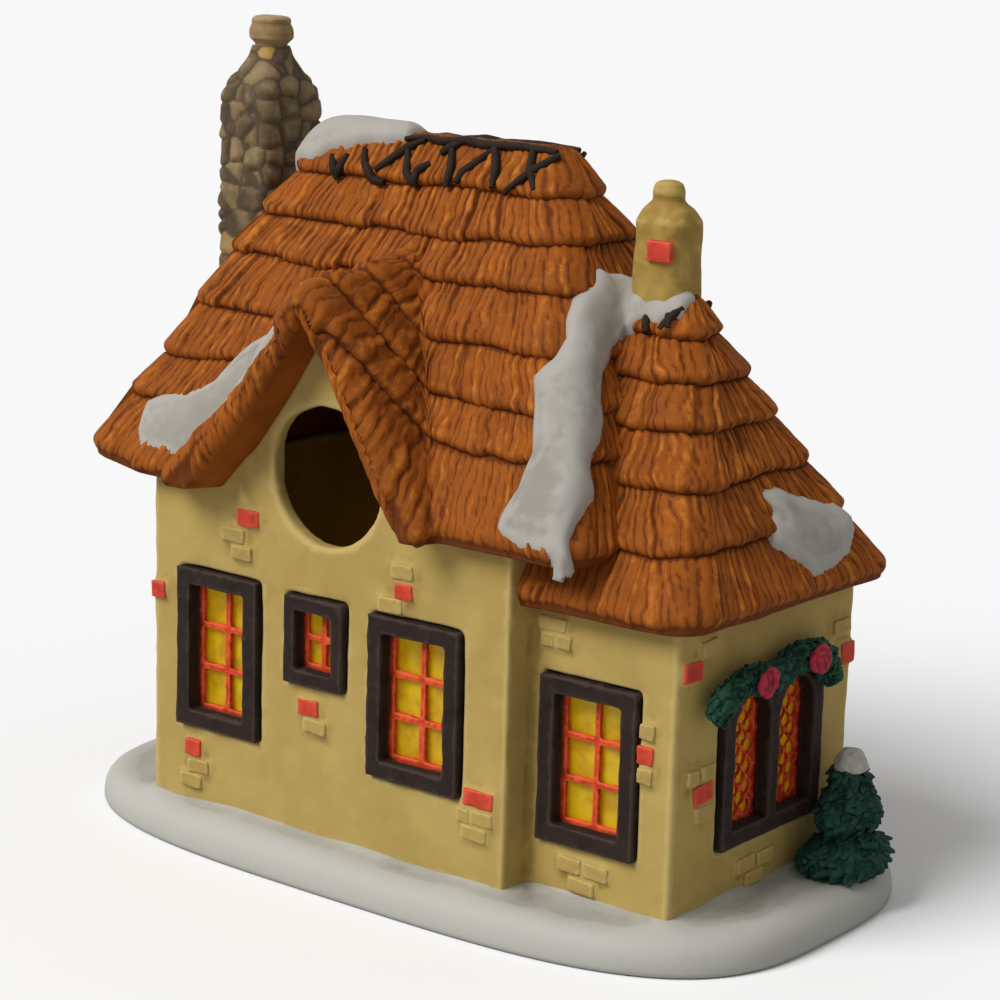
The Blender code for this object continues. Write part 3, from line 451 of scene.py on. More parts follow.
# Here and there the plaster has fallen off and bricks show. They stand a little proud of the wall,
# are cast with it, and a few of them were touched with red by a quick brush.
BRICK_PROUD = 1.15 * MM
BRICK_SUNK = 0.8 * MM
FLUE_FACE_Y = -9.1 * MM
MAIN_REAR_BRICKS = (
    (-38.4, 76.6, 7.2, 3.4), (-35.6, 72.6, 6.4, 3.2), (9.4, 68.4, 6.8, 3.4), (12.6, 76.4, 6.2, 3.2),
    (-12.6, 35.8, 6.6, 3.2), (-49.2, 18.4, 6.8, 3.2), (-51.6, 14.6, 6.6, 3.2), (36.4, 25.2, 6.0, 3.2),
    (31.4, 25.0, 3.2, 3.0), (34.4, 21.4, 7.0, 3.2),
)
MAIN_REAR_RED = (
    (-33.6, 81.1, 6.6, 3.9), (-62.3, 59.4, 4.2, 3.9), (13.1, 72.1, 5.0, 3.6), (-14.5, 40.0, 6.1, 3.7),
    (-50.9, 22.8, 5.0, 4.0), (35.4, 29.5, 8.2, 3.8),
)
WING_REAR_BRICKS = (
    (47.6, 69.6, 7.2, 3.0), (46.4, 66.0, 3.4, 3.0), (50.8, 66.0, 3.8, 3.0), (73.2, 50.8, 3.6, 3.4),
    (73.0, 41.0, 3.8, 3.4), (54.1, 16.8, 6.2, 3.4), (61.2, 16.6, 6.4, 3.4), (57.4, 12.6, 7.0, 3.2),
)
WING_REAR_RED = ((72.9, 45.6, 4.0, 4.0),)
END_BRICKS = (
    (-27.0, 68.4, 6.0, 3.4), (-25.6, 40.6, 5.4, 3.2), (-31.2, 40.4, 4.2, 3.2), (-27.0, 31.8, 6.6, 3.4),
    (-9.2, 15.6, 7.2, 3.4), (-1.4, 15.4, 6.2, 3.4), (-5.6, 11.8, 7.0, 3.2), (27.0, 62.6, 7.0, 3.4),
)
END_RED = ((-32.8, 64.1, 6.6, 4.4), (-27.2, 36.2, 7.2, 4.2), (30.0, 55.8, 5.2, 5.0))
FRONT_BRICKS = (
    (-56.0, 69.8, 7.0, 3.4), (7.0, 53.8, 7.0, 3.4), (-30.0, 19.8, 7.0, 3.4), (38.0, 20.0, 6.0, 3.8),
)
FRONT_RED = ((-58.0, 74.0, 7.0, 3.8), (4.5, 58.0, 7.0, 3.8), (-28.0, 24.0, 7.0, 3.8))
BRICK_CREAM = fired_paint("brick_cream", (172, 146, 80), (136, 108, 52), (188, 164, 100),
                          patchiness=0.3)
BRICK_RED = fired_paint("brick_red", (200, 62, 38), (140, 38, 28), (214, 84, 54),
                        patchiness=0.5, patch_size=260.0, roughness=0.7)


def run_tree(piece, tree, values):
    """Set a node tree's named inputs on a piece by their identifiers, and take the result."""
    modifier = piece.modifiers.new(tree.name, "NODES")
    modifier.node_group = tree
    for item in tree.interface.items_tree:
        if item.in_out == "INPUT" and item.name in values:
            modifier[item.identifier] = values[item.name]
    settle(piece)
    paint, coats = values["Paint"], piece.data.materials
    if paint.name not in [coat.name for coat in coats if coat]:
        coats.clear()
        coats.append(paint)
    return piece


def named(tree, name, kind="FLOAT"):
    """Read a number or direction that was noted on the points."""
    node = put(tree, "GeometryNodeInputNamedAttribute", {"Name": name}, data_type=kind)
    return node.outputs["Attribute"]


def stretch(tree, way, length):
    """Make a direction longer or shorter."""
    return put(tree, "ShaderNodeVectorMath", {0: way, "Scale": length}, operation="SCALE").outputs[0]


def combine(tree, first, second, operation="ADD"):
    """Add one step of arithmetic on two directions."""
    return put(tree, "ShaderNodeVectorMath", {0: first, 1: second}, operation=operation).outputs[0]


def roughen(tree, shape, scale, detail, amount):
    """Shift the points of a shape a little, as a fine noise says."""
    noise = put(tree, "ShaderNodeTexNoise", {"Scale": scale, "Detail": detail}).outputs["Color"]
    shift = stretch(tree, combine(tree, noise, (0.5, 0.5, 0.5), "SUBTRACT"), amount)
    return put(tree, "GeometryNodeSetPosition", {"Geometry": shape.outputs[0], "Offset": shift})


def open_tree(name, sizes):
    """Open a tree that takes a shape, its named sizes and a paint, and gives a shape."""
    kinds = {int: "NodeSocketInt", float: "NodeSocketFloat"}
    inputs = [(label, kinds[type(value)], value) for label, value in sizes.items()]
    return open_group(name, "GeometryNodeTree", [("Geometry", "NodeSocketGeometry", None), *inputs,
                                                 ("Paint", "NodeSocketMaterial", None)],
                      [("Geometry", "NodeSocketGeometry")])


def close_tree(tree, shape, given, out):
    """End a tree: its copies are made real and given their paint."""
    real = put(tree, "GeometryNodeRealizeInstances", {"Geometry": shape.outputs[0]})
    painted = put(tree, "GeometryNodeSetMaterial", {"Geometry": real.outputs[0], "Material": given["Paint"]})
    tree.links.new(painted.outputs[0], out.inputs[0])
    return tree


def brick_tree():
    """Set one hand-cut block on each point, as wide and tall as the point says, then roughen all."""
    tree, given, out = open_tree("bricks_in_plaster", {"Thickness": 2 * MM, "Roughness": 0.2 * MM, "Seed": 1})
    block = put(tree, "GeometryNodeMeshCube", {"Size": (1, 1, 1), "Vertices X": 3, "Vertices Y": 2,
                                              "Vertices Z": 3})
    round_block = put(tree, "GeometryNodeSubdivisionSurface",
                      {"Mesh": block.outputs["Mesh"], "Level": 2, "Edge Crease": 0.62})
    tilt = put(tree, "FunctionNodeRandomValue", {"Min": (0, -0.06, -0.02), "Max": (0, 0.06, 0.02),
                                                "Seed": given["Seed"]}, data_type="FLOAT_VECTOR")
    turn = put(tree, "ShaderNodeCombineXYZ", {"Z": named(tree, "turn")})
    rotation = combine(tree, turn.outputs[0], tilt.outputs[0])
    size = put(tree, "ShaderNodeCombineXYZ", {"X": named(tree, "wide"), "Y": given["Thickness"],
                                              "Z": named(tree, "tall")})
    placed = put(tree, "GeometryNodeInstanceOnPoints", {
        "Points": given["Geometry"], "Instance": round_block.outputs["Mesh"],
        "Rotation": rotation, "Scale": size.outputs[0]})
    real = put(tree, "GeometryNodeRealizeInstances", {"Geometry": placed.outputs[0]})
    return close_tree(tree, roughen(tree, real, 420.0, 1.0, given["Roughness"]), given, out)


BRICK_TREE = brick_tree()


def bricks(name, walls, paint, slot, seed):
    """Set the listed bricks on the sides they name. Each is its place, height up, width and height."""
    points, wide, tall, turns = [], [], [], []
    for rows, side in walls:
        for at, z, width, height in rows:
            depth = (BRICK_PROUD - BRICK_SUNK) / 2
            place = {
                "main_rear": (at * MM, MAIN_FOOT[2] - depth, 0.0),
                "wing_rear": (at * MM, WING_FOOT[2] - depth, 0.0),
                "wing_end": (WING_FOOT[1] + depth, at * MM, math.pi / 2),
                "main_front": (at * MM, MAIN_FOOT[3] + depth, math.pi),
                "flue": (at * MM, FLUE_FACE_Y - depth, 0.0),
            }[side]
            points.append((place[0], place[1], z * MM))
            turns.append(place[2])
            wide.append(width * MM)
            tall.append(height * MM)
    field = cast(name, points, [], paint)
    for label, values in (("wide", wide), ("tall", tall), ("turn", turns)):
        note(field, label, values)
    run_tree(field, BRICK_TREE, {"Thickness": BRICK_PROUD + BRICK_SUNK, "Roughness": 0.5 * MM,
                                 "Seed": seed, "Paint": paint})
    find_hollows(field, 2, 0.15 * MM)
    return set_down(field, slot)


bricks("plain_bricks", ((MAIN_REAR_BRICKS, "main_rear"), (WING_REAR_BRICKS, "wing_rear"),
                        (END_BRICKS, "wing_end"), (FRONT_BRICKS, "main_front")), BRICK_CREAM, "cream_wall", 5)
bricks("red_bricks", ((MAIN_REAR_RED, "main_rear"), (WING_REAR_RED, "wing_rear"),
                      (END_RED, "wing_end"), (FRONT_RED, "main_front")), BRICK_RED, "orange_bars", 9)

# Each plain window is a thick dark timber frame in a deep opening, with orange-red glazing bars behind
# it and a yellow film behind those. Frames and bars are cast and painted; the film is glued inside.
TIMBER = fired_paint("dark_timber", (44, 33, 29), (24, 17, 15), (66, 54, 47), patchiness=0.5,
                     patch_size=160.0, roughness=0.75, sheen=0.15)
ORANGE = fired_paint("orange_red", (204, 62, 26), (150, 38, 16), (222, 96, 46), patchiness=0.5,
                     patch_size=240.0, roughness=0.65)


def window_film():
    """Yellow translucent film: glossy, a little cloudy, with faint smears, and a faint painted glow as if lit
    from behind.
    """
    material, tree = blank_paint("yellow_window_film")
    place = put(tree, "ShaderNodeTexCoord").outputs["Object"]
    cloud = noise(tree, {"Vector": place, "Scale": 190.0, "Detail": 3.0})
    smear = noise(tree, {"Vector": place, "Scale": 700.0, "Detail": 2.0})
    colour = blend_colours(tree, slope(tree, cloud, 0.35, 0.68), srgb(190, 160, 6), srgb(160, 116, 4))
    rough = slope(tree, smear, 0.4, 0.7, 0.32, 0.5)
    raised = put(tree, "ShaderNodeBump", {"Height": cloud, "Strength": 0.15, "Distance": 0.3 * MM})
    # The emission is a painted glow; no lamp stands behind the film.
    shader = put(tree, "ShaderNodeBsdfPrincipled", {
        "Base Color": colour, "Roughness": rough, "Normal": raised.outputs["Normal"],
        "Emission Color": srgb(190, 150, 4), "Emission Strength": 0.22})
    put(tree, "ShaderNodeOutputMaterial", {"Surface": shader.outputs[0]})
    return material


FILM = window_film()
PLAIN_WINDOWS = ("rear_left_window", "rear_small_window", "rear_right_window", "wing_rear_window",
                 "front_left_window", "front_right_window", "wing_front_window")


def timber(name, node, seed):
    """Cast one dark timber frame or ledge."""
    set_down(recast(name, [node], 0.4 * MM, 5, 0.2 * MM, 4 * MM, seed, TIMBER), "dark_frame", node)


def glue_film(node):
    """Glue the yellow film behind one window."""
    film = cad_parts[node].data
    film.materials.clear()
    film.materials.append(FILM)


def plain_windows():
    for count, name in enumerate(PLAIN_WINDOWS):
        timber(f"{name}_timber", f"{name}_frame", 30 + count)
        bars = recast(f"{name}_glazing", [f"{name}_bars"], 0.28 * MM, 4, 0.22 * MM, 2.4 * MM, 50 + count,
                      ORANGE)
        set_down(bars, "orange_bars", f"{name}_bars")
        glue_film(f"{name}_film")
    timber("wing_front_window_ledge", "wing_front_window_sill", 61)


plain_windows()

# The wing's end has a pair of arched lights in one dark frame, with an orange diamond lattice.
# The lattice is painted on the same yellow film, in thick uneven strokes.
LATTICE_THINNED = 0.16 * MM
timber("arched_timber", "arched_window_frame", 71)
lattice = recast("arched_lattice", ["arched_window_lattice"], 0.28 * MM, 3, 0.3 * MM, 1.6 * MM, 73, ORANGE)
place, facing = points_of(lattice)
press(lattice, place - facing * LATTICE_THINNED)
set_down(lattice, "orange_bars", "arched_window_lattice")
glue_film("arched_window_film")

# The front door is plank and round-headed, in a timber frame over one stone step, with a gold knob.
# It is on the side that faces away from the lamp hole, cast in relief and painted brown.
DOOR_PLANK = 3.6 * MM
DOOR_BROWN = fired_paint("door_brown", (112, 66, 38), (58, 32, 20), (150, 96, 60), patchiness=0.5,
                         patch_size=200.0, roughness=0.72)
KNOB_GOLD = fired_paint("knob_gold", (196, 158, 66), (128, 96, 36), (226, 196, 110),
                        roughness=0.4, sheen=0.5)
STEP_STONE = fired_paint("step_stone", (132, 120, 94), (82, 70, 52), (168, 156, 128),
                         patchiness=0.6, patch_size=200.0)


def plank_door():
    door = recast("plank_door", ["front_door"], 0.34 * MM, 3, 0.12 * MM, 3 * MM, 81, DOOR_BROWN)
    points, facing = points_of(door)
    board = np.abs((points[:, 0] / DOOR_PLANK) % 1 - 0.5)
    groove = ease(board, 0.42, 0.5) * ease(facing[:, 1], 0.5, 0.9)
    grain = lumps(points * (3.4, 1, 0.35), 1.6 * MM, 83) * ease(facing[:, 1], 0.5, 0.9)
    points[:, 1] -= (0.55 * groove + 0.1 * grain) * MM
    press(door, points)
    find_hollows(door, 4, 0.12 * MM)
    return door


set_down(plank_door(), "door_brown", "front_door")
timber("door_timber", "front_door_frame", 85)
set_down(recast("door_handle", ["front_door_knob"], 0.16 * MM, 3, 0.03 * MM, 1 * MM, 87, KNOB_GOLD),
         "knob_gold", "front_door_knob")
set_down(recast("door_stone", ["front_door_step"], 0.4 * MM, 5, 0.3 * MM, 3 * MM, 89, STEP_STONE),
         "chimney_stone", "front_door_step")

# The thatch is modelled in the porcelain as courses, each with a thick rounded lip over the next, and
# combed with grooves that run downhill. It is painted russet, with brown in the grooves that is partly
# painted shade, a painted shadow under and at the foot of each lip, and a dry brush of orange over the
# straws. The round lamp hole's gable grows out of the long rear slope.
RIDGE_Y = -2.35 * MM
MAIN_RIDGE_Z = 166.5 * MM
MAIN_FALL = 80.0 * MM
MAIN_RUN = 46.65 * MM
WING_RIDGE_Z = 137.0 * MM
WING_FALL = 62.5 * MM
WING_RUN = 38.25 * MM
RIDGE_HALF = 2.0 * MM
HIP_ROUND = 6.5 * MM
HIP_TURN = np.radians(np.linspace(-45, 0, 9)[:-1])
MAIN_LIPS = np.array([166.5, 156.3, 146.2, 136.4, 124.2, 113.1, 103.7, 86.5]) * MM
WING_LIPS = np.array([137.0, 128.4, 119.6, 110.1, 99.8, 87.9, 74.5]) * MM
COURSE_STEPS = np.array([0.004, 0.03, 0.07, 0.12, 0.18, 0.25, 0.32, 0.39, 0.46, 0.53, 0.6, 0.67, 0.74, 0.8,
                         0.855, 0.9, 0.935, 0.962, 0.982, 0.994, 0.9999])
LIP_WANDER = 1.1 * MM
LIP_DROOP = 2.6 * MM
THATCH_BODY = 3.0 * MM
CROWN = np.array([0.0, 0.3, 0.6, 0.85])
UNDER_DOWN = np.array([0.35, 0.7, 0.96, 1.0, 1.0, 1.0, 1.0])
UNDER_TUCK = np.array([0.0, 0.0, 0.01, 0.06, 0.26, 0.6, 1.0])


def main_plan(drop):
    """Give the main roof's left end, right end and half depth at a share of its fall."""
    fall = np.clip(drop, 0, None)
    return (-46.0 - 36.5 * fall ** 0.68) * MM, (20.0 + 41.0 * fall ** 0.9) * MM, RIDGE_HALF + MAIN_RUN * fall


def wing_plan(drop):
    """The same for the wing's roof, whose left end runs on inside the main roof."""
    fall = np.clip(drop, 0, None)
    at_main = np.clip((MAIN_RIDGE_Z - WING_RIDGE_Z + WING_FALL * fall) / MAIN_FALL, 0, 1)
    left = np.minimum(main_plan(at_main)[1] - 8 * MM, 40.5 * MM)
    return left, (56.0 + 29.5 * fall) * MM, RIDGE_HALF + WING_RUN * fall


def list_columns(sides):
    """List a net's columns: each one's side, its share along it, its turn round a hip, and the spare ones.

    A side is its name, its shares, and whether each of its two ends turns round a hip.
    """
    spare = 2 * HIP_TURN[0] - HIP_TURN[1]
    side_of, share, angle, extra = [], [], [], []
    for count, (_, shares, hips) in enumerate(sides):
        first, last = count == 0, count == len(sides) - 1
        start, end = [], []
        if hips[0]:
            start = [spare, *HIP_TURN] if first else [*HIP_TURN[1:]]
        if hips[1]:
            end = [*-HIP_TURN[::-1], -spare] if last else [*-HIP_TURN[::-1]]
        if not hips[0]:
            shares = [2 * shares[0] - shares[1], *shares]
        if not hips[1]:
            shares = [*shares, 2 * shares[-1] - shares[-2]]
        size = len(start) + len(shares) + len(end)
        side_of += [count] * size
        share += [0.0] * len(start) + list(shares) + [1.0] * len(end)
        angle += [*start, *([0.0] * len(shares)), *end]
        extra += [first and i == 0 or last and i == size - 1 for i in range(size)]
    return np.array(side_of), np.array(share), np.array(angle), np.array(extra)


def lay_plan(sides, columns, left, right, half):
    """Give x, y and the place along its own side of each point of a net."""
    side_of, share, angle, _ = columns
    shape = np.broadcast_shapes(left.shape, (1, len(share)))
    x, y, along = np.zeros(shape), np.zeros(shape), np.zeros(shape)
    for count, (side, _, hips) in enumerate(sides):
        mine = side_of == count
        east, north = {"rear": (1, 0), "right": (0, 1), "front": (-1, 0), "left": (0, -1)}[side]
        l, r, h = (np.broadcast_to(a, shape)[:, mine] for a in (left, right, half))
        low, high, out = {
            "rear": (l, r, h - RIDGE_Y), "front": (-r, -l, h + RIDGE_Y),
            "right": (RIDGE_Y - h, RIDGE_Y + h, r), "left": (-RIDGE_Y - h, h - RIDGE_Y, -l),
        }[side]
        radius = np.minimum(HIP_ROUND, 0.9 * h)
        low_turn, high_turn = radius * hips[0], radius * hips[1]
        at = low + low_turn + share[mine] * (high - low - low_turn - high_turn) + radius * np.sin(angle[mine])
        out = out - radius * (1 - np.cos(angle[mine]))
        x[:, mine], y[:, mine], along[:, mine] = at * east + out * north, at * north - out * east, at
    return x, y, along


def straw_place(sides, columns, along, half, at_row):
    """Number the straws across a course: level with the walls in mid slope, fanning out toward the hips."""
    side_of, share, angle, _ = columns
    across, shift = np.zeros(along.shape), 0.0
    for count, (_, _, hips) in enumerate(sides):
        mine = side_of == count
        radius = np.minimum(HIP_ROUND, 0.9 * np.broadcast_to(half, along.shape)[at_row, mine])
        fixed = along[at_row, mine] + radius * (angle[mine] - np.sin(angle[mine]))
        fan = np.clip(2 * share[mine] - 1, 0, 1) * hips[1] + np.clip(1 - 2 * share[mine], 0, 1) * hips[0]
        mixed = along[:, mine] * (1 - fan) + fixed * fan
        if count:
            step = fixed[1] - fixed[0]
            mixed = mixed + shift + step - fixed[0]
            fixed = fixed + shift + step - fixed[0]
        across[:, mine] = mixed
        shift = fixed[-1]
    return across


def course_rows(plan, sides, columns, lips, ridge_z, fall, seed):
    """Give each point's course and its drop, with the lips wandering as hand-laid straw does."""
    course = np.concatenate([k + COURSE_STEPS for k in range(len(lips) - 1)])
    drop = (ridge_z - lips) / fall
    left, right, half = (a[:, None] for a in plan(drop))
    x, y, _ = lay_plan(sides, columns, left, right, half)
    z = lips[:, None] + 0 * x
    wander = np.zeros(x.shape)
    for k in range(len(lips)):
        spots = np.column_stack([x[k], y[k], z[k]])
        hills = lumps(spots, 17 * MM, seed + k) + 0.45 * lumps(spots, 5.5 * MM, seed + 20 + k)
        wander[k] = LIP_WANDER * hills
        if ridge_z == MAIN_RIDGE_Z and k == len(lips) - 2:
            wander[k] -= LIP_DROOP * ease(-x[k], 46 * MM, 74 * MM)
    wander[0] = 0
    wander[-1] *= 0.35
    number = np.minimum(course.astype(int), len(lips) - 2)
    part = (course - number)[:, None]
    level = np.interp(course, np.arange(len(lips)), lips)[:, None]
    level = level + wander[number] * (1 - part) + wander[number + 1] * part
    return course[:, None] + 0 * level, (ridge_z - level) / fall


GABLE_NOSE_Z = 138.1 * MM
GABLE_NOSE_Y = -56.4 * MM
GABLE_CLIMB = 0.12
GABLE_CREST = 1.8 * MM
GABLE_ROLL = 5.0 * MM
GABLE_FAN = 11.6
GABLE_LEFT_SHARE = 0.76
SOFFIT_STEP = 1.5 * MM
EAVE_LIFT = 1.7 * MM
CORNER_LIFT = 2.6 * MM
MAIN_EAVE_Y = -51.0 * MM
MAIN_EAVE_Z = 86.5 * MM
WING_EAVE_Z = 74.5 * MM
COURSE_SWEEP = 0.58


def main_slope_z(y):
    """Give the height of the long rear slope, carried on past its eave."""
    return MAIN_RIDGE_Z - MAIN_FALL / MAIN_RUN * (RIDGE_Y - y - RIDGE_HALF)


def from_ridge(x):
    """Give how far a point is down the gable, as on its steeper right slope."""
    return np.where(x < GABLE_X, GABLE_LEFT_SHARE, 1.0) * np.abs(x - GABLE_X)


def gable_z(x, y):
    """Give the height of the gable's roof over a point, before its thatch is combed."""
    ridge = GABLE_NOSE_Z + GABLE_CLIMB * (y - GABLE_NOSE_Y)
    fall = (np.sqrt((x - GABLE_X) ** 2 + GABLE_CREST ** 2) - 0.5 * GABLE_CREST) / GABLE_RUN
    return ridge - fall + flare(x)


def either(a, b, blend):
    """Give the higher of two surfaces, with a soft valley between them."""
    share = np.clip(0.5 + 0.5 * (a - b) / blend, 0, 1)
    return b * (1 - share) + a * share + blend * share * (1 - share)


def rear_roof_z(x, y):
    """Give the height of the rear slope and the gable that grows out of it."""
    return np.maximum(either(gable_z(x, y), main_slope_z(y), 6 * MM), MAIN_EAVE_Z)


def rake_y(x):
    """Give how far forward the thatch ends: at the eave, or at the gable's rake."""
    return MAIN_EAVE_Y + (GABLE_NOSE_Y - MAIN_EAVE_Y) * ease(from_ridge(x), 36 * MM, 31.5 * MM)


def grow_gable(x, y, course, straight, rows):
    """Carry the rear slope's courses up and over the gable, and end each line at the rake.

    A course on the gable is level with one on the long slope where y plus a share of z is the same.
    """
    rise = 1 + COURSE_SWEEP * MAIN_FALL / MAIN_RUN
    base = COURSE_SWEEP * main_slope_z(0.0)
    last = rows - 1
    end_x = x[last]
    end_y = rake_y(end_x)
    end_level = np.minimum((end_y + COURSE_SWEEP * rear_roof_z(end_x, end_y) - base) / rise, y[last])
    lip = np.argmax(course[:rows, 0] >= course[last, 0] // 1)
    share = np.clip((y[:rows] - y[lip]) / (y[last] - y[lip]), 0, 1)
    level = y[:rows] + np.where(straight, share * (end_level - y[last]), 0)
    low, high = np.full(level.shape, -62 * MM), np.full(level.shape, 0 * MM)
    for _ in range(30):
        middle = 0.5 * (low + high)
        over = middle + COURSE_SWEEP * rear_roof_z(x[:rows], middle) > rise * level + base
        high, low = np.where(over, middle, high), np.where(over, low, middle)
    near = straight & (from_ridge(x[:rows]) < 44 * MM)
    y[:rows] = np.where(near, 0.5 * (low + high), y[:rows])
    z = np.where(near, rear_roof_z(x[:rows], y[:rows]), np.nan)
    for column in np.flatnonzero(near.any(0)):
        beyond = np.flatnonzero(near[:, column] & (y[:rows, column] < rake_y(x[:rows, column]) - 1e-9))
        if len(beyond):
            first = beyond[0]
            gap = [y[r, column] - rake_y(x[r, column]) for r in (first - 1, first)]
            part = gap[0] / (gap[0] - gap[1])
            for values in (x, y, course):
                values[first:rows, column] = values[first - 1, column] + part * (
                    values[first, column] - values[first - 1, column])
            z[first:, column] = rear_roof_z(x[first, column], y[first, column])
    back = y[:rows] - rake_y(x[:rows])
    curl = np.clip(GABLE_ROLL - back, 0, GABLE_ROLL)
    taken = ease(from_ridge(x[:rows]), 35 * MM, 31 * MM) * near
    z -= taken * 0.6 * (GABLE_ROLL - np.sqrt(GABLE_ROLL ** 2 - curl ** 2))
    return x, y, z, course


def facing_of(x, y, z):
    """Give the way out from each point of a net, as its faces say, with points in one place alike."""
    place = np.stack([x, y, z], -1)
    a, b, c, d = place[:-1, :-1], place[1:, :-1], place[1:, 1:], place[:-1, 1:]
    way = np.cross(c - a, d - b)
    total = np.zeros(place.shape)
    for rows in (slice(None, -1), slice(1, None)):
        for cols in (slice(None, -1), slice(1, None)):
            total[rows, cols] += way
    stay = np.linalg.norm(np.diff(place, axis=0), axis=-1) < 1e-7
    for row in range(1, len(place)):
        same = stay[row - 1]
        total[row, same] += total[row - 1, same]
    for row in range(len(place) - 2, -1, -1):
        same = stay[row]
        total[row, same] = total[row + 1, same]
    length = np.linalg.norm(total, axis=-1, keepdims=True)
    total = np.where(length > 1e-16, total / np.maximum(length, 1e-16), [0, 0, 1])
    total[0] = (0, 0, 1)
    return total


def cell_domes(tree, wires, soft, **settings):
    """Give a round dome over each cell of a pattern, and the chance numbers of each cell."""
    edge = put(tree, "ShaderNodeTexVoronoi", wires, feature="DISTANCE_TO_EDGE", **settings)
    cell = put(tree, "ShaderNodeTexVoronoi", wires, feature="F1", **settings)
    flat = reckon(tree, "MINIMUM", times(tree, edge.outputs["Distance"], soft), 1.0)
    gap = less(tree, 1.0, flat)
    dome = less(tree, 1.0, times(tree, gap, gap))
    return dome, put(tree, "FunctionNodeSeparateColor", {"Color": cell.outputs["Color"]}).outputs


def remember(tree, shape, name, value):
    """Keep one number for each point of a shape, for its paint."""
    wires = {"Geometry": shape.outputs[0], "Name": name, "Value": value}
    return put(tree, "GeometryNodeStoreNamedAttribute", wires, data_type="FLOAT", domain="POINT")


def quads(at):
    """List the four-cornered faces of a net of numbered points."""
    return np.stack([at[:-1, :-1], at[1:, :-1], at[1:, 1:], at[:-1, 1:]], -1).reshape(-1, 4)


def thatch_tree():
    """Comb one roof: courses with thick lips, tufts, and straws that run downhill."""
    way = "FLOAT_VECTOR"
    tree, given, out = open_tree("combed_thatch", {
        "Straw Width": 1.5 * MM, "Straw Depth": 0.4 * MM, "Lip Depth": 2 * MM, "Lip Ragged": 0.8 * MM,
        "Seed": 0.0})
    place = put(tree, "GeometryNodeInputPosition").outputs[0]
    combed, thick, course = named(tree, "combed"), named(tree, "thick"), named(tree, "course")
    number_of = reckon(tree, "FLOOR", course)
    share = less(tree, course, number_of)
    waver = noise(tree, {"Vector": place, "Scale": 150.0, "Detail": 1.5})
    sway = times(tree, less(tree, waver, 0.5), 4.4 * MM)
    chance = put(tree, "ShaderNodeTexWhiteNoise", {"W": number_of}, noise_dimensions="1D").outputs["Value"]
    lean = times(tree, times(tree, less(tree, chance, 0.5), 2.6 * MM), share)
    across = plus(tree, plus(tree, named(tree, "across"), sway), lean)
    straw = reckon(tree, "DIVIDE", across, given["Straw Width"])
    straw = plus(tree, straw, times(tree, number_of, 13.7))
    straw = plus(tree, straw, given["Seed"])

    def cells(width, soft):
        """Give a row of uneven cells: a dome over each, and a chance number for each."""
        wires = {"W": times(tree, straw, width), "Scale": 1.0}
        dome, luck = cell_domes(tree, wires, soft, voronoi_dimensions="1D")
        return dome, luck[0]

    dome, luck = cells(1.0, 2.4)
    tuft, tuft_luck = cells(0.24, 5.0)
    rise = plus(tree, 0.08, times(tree, reckon(tree, "POWER", share, 0.8), 0.92))
    turned = reckon(tree, "MAXIMUM", reckon(tree, "DIVIDE", less(tree, share, 0.84), 0.16), 0.0)
    nose = reckon(tree, "SQRT", reckon(tree, "MAXIMUM", less(tree, 1.0, times(tree, turned, turned)), 0.0))
    body = times(tree, times(tree, rise, nose), given["Lip Depth"])
    strands = plus(tree, times(tree, dome, plus(tree, 0.45, luck)),
                   times(tree, tuft, plus(tree, 0.5, tuft_luck)))
    strands = times(tree, times(tree, strands, given["Straw Depth"]), combed)
    strands = times(tree, strands, plus(tree, 0.3, times(tree, nose, 0.7)))
    height = times(tree, plus(tree, body, strands), thick)
    push = stretch(tree, named(tree, "out_way", way), height)
    ends = plus(tree, times(tree, less(tree, luck, 0.5), 0.6), less(tree, tuft_luck, 0.45))
    ends = times(tree, times(tree, ends, given["Lip Ragged"]), slope(tree, share, 0.6, 0.95))
    pull = stretch(tree, named(tree, "down_way", way), times(tree, ends, combed))
    both = combine(tree, push, pull)
    moved = put(tree, "GeometryNodeSetPosition", {"Geometry": given["Geometry"], "Offset": both})
    # The grooves are darkened partly as painted shade, and shadow is a painted shadow under and at the foot
    # of each lip.
    groove = slope(tree, dome, 0.2, 0.95, 0.75, -0.1)
    split = slope(tree, tuft, 0.1, 0.8, 0.35, 0.0)
    shadow = plus(tree, slope(tree, share, 0.0, 0.06, 1.4, 0.0), slope(tree, share, 0.965, 1.0, 0.0, 1.1))
    hollow = plus(tree, plus(tree, groove, split), shadow)
    hollow = less(tree, hollow, times(tree, dome, times(tree, luck, 0.4)))
    hollow = times(tree, hollow, plus(tree, 0.25, times(tree, combed, 0.75)))
    noted = remember(tree, moved, "hollow", hollow)
    noted = remember(tree, noted, "straw", across)
    return close_tree(tree, noted, given, out)


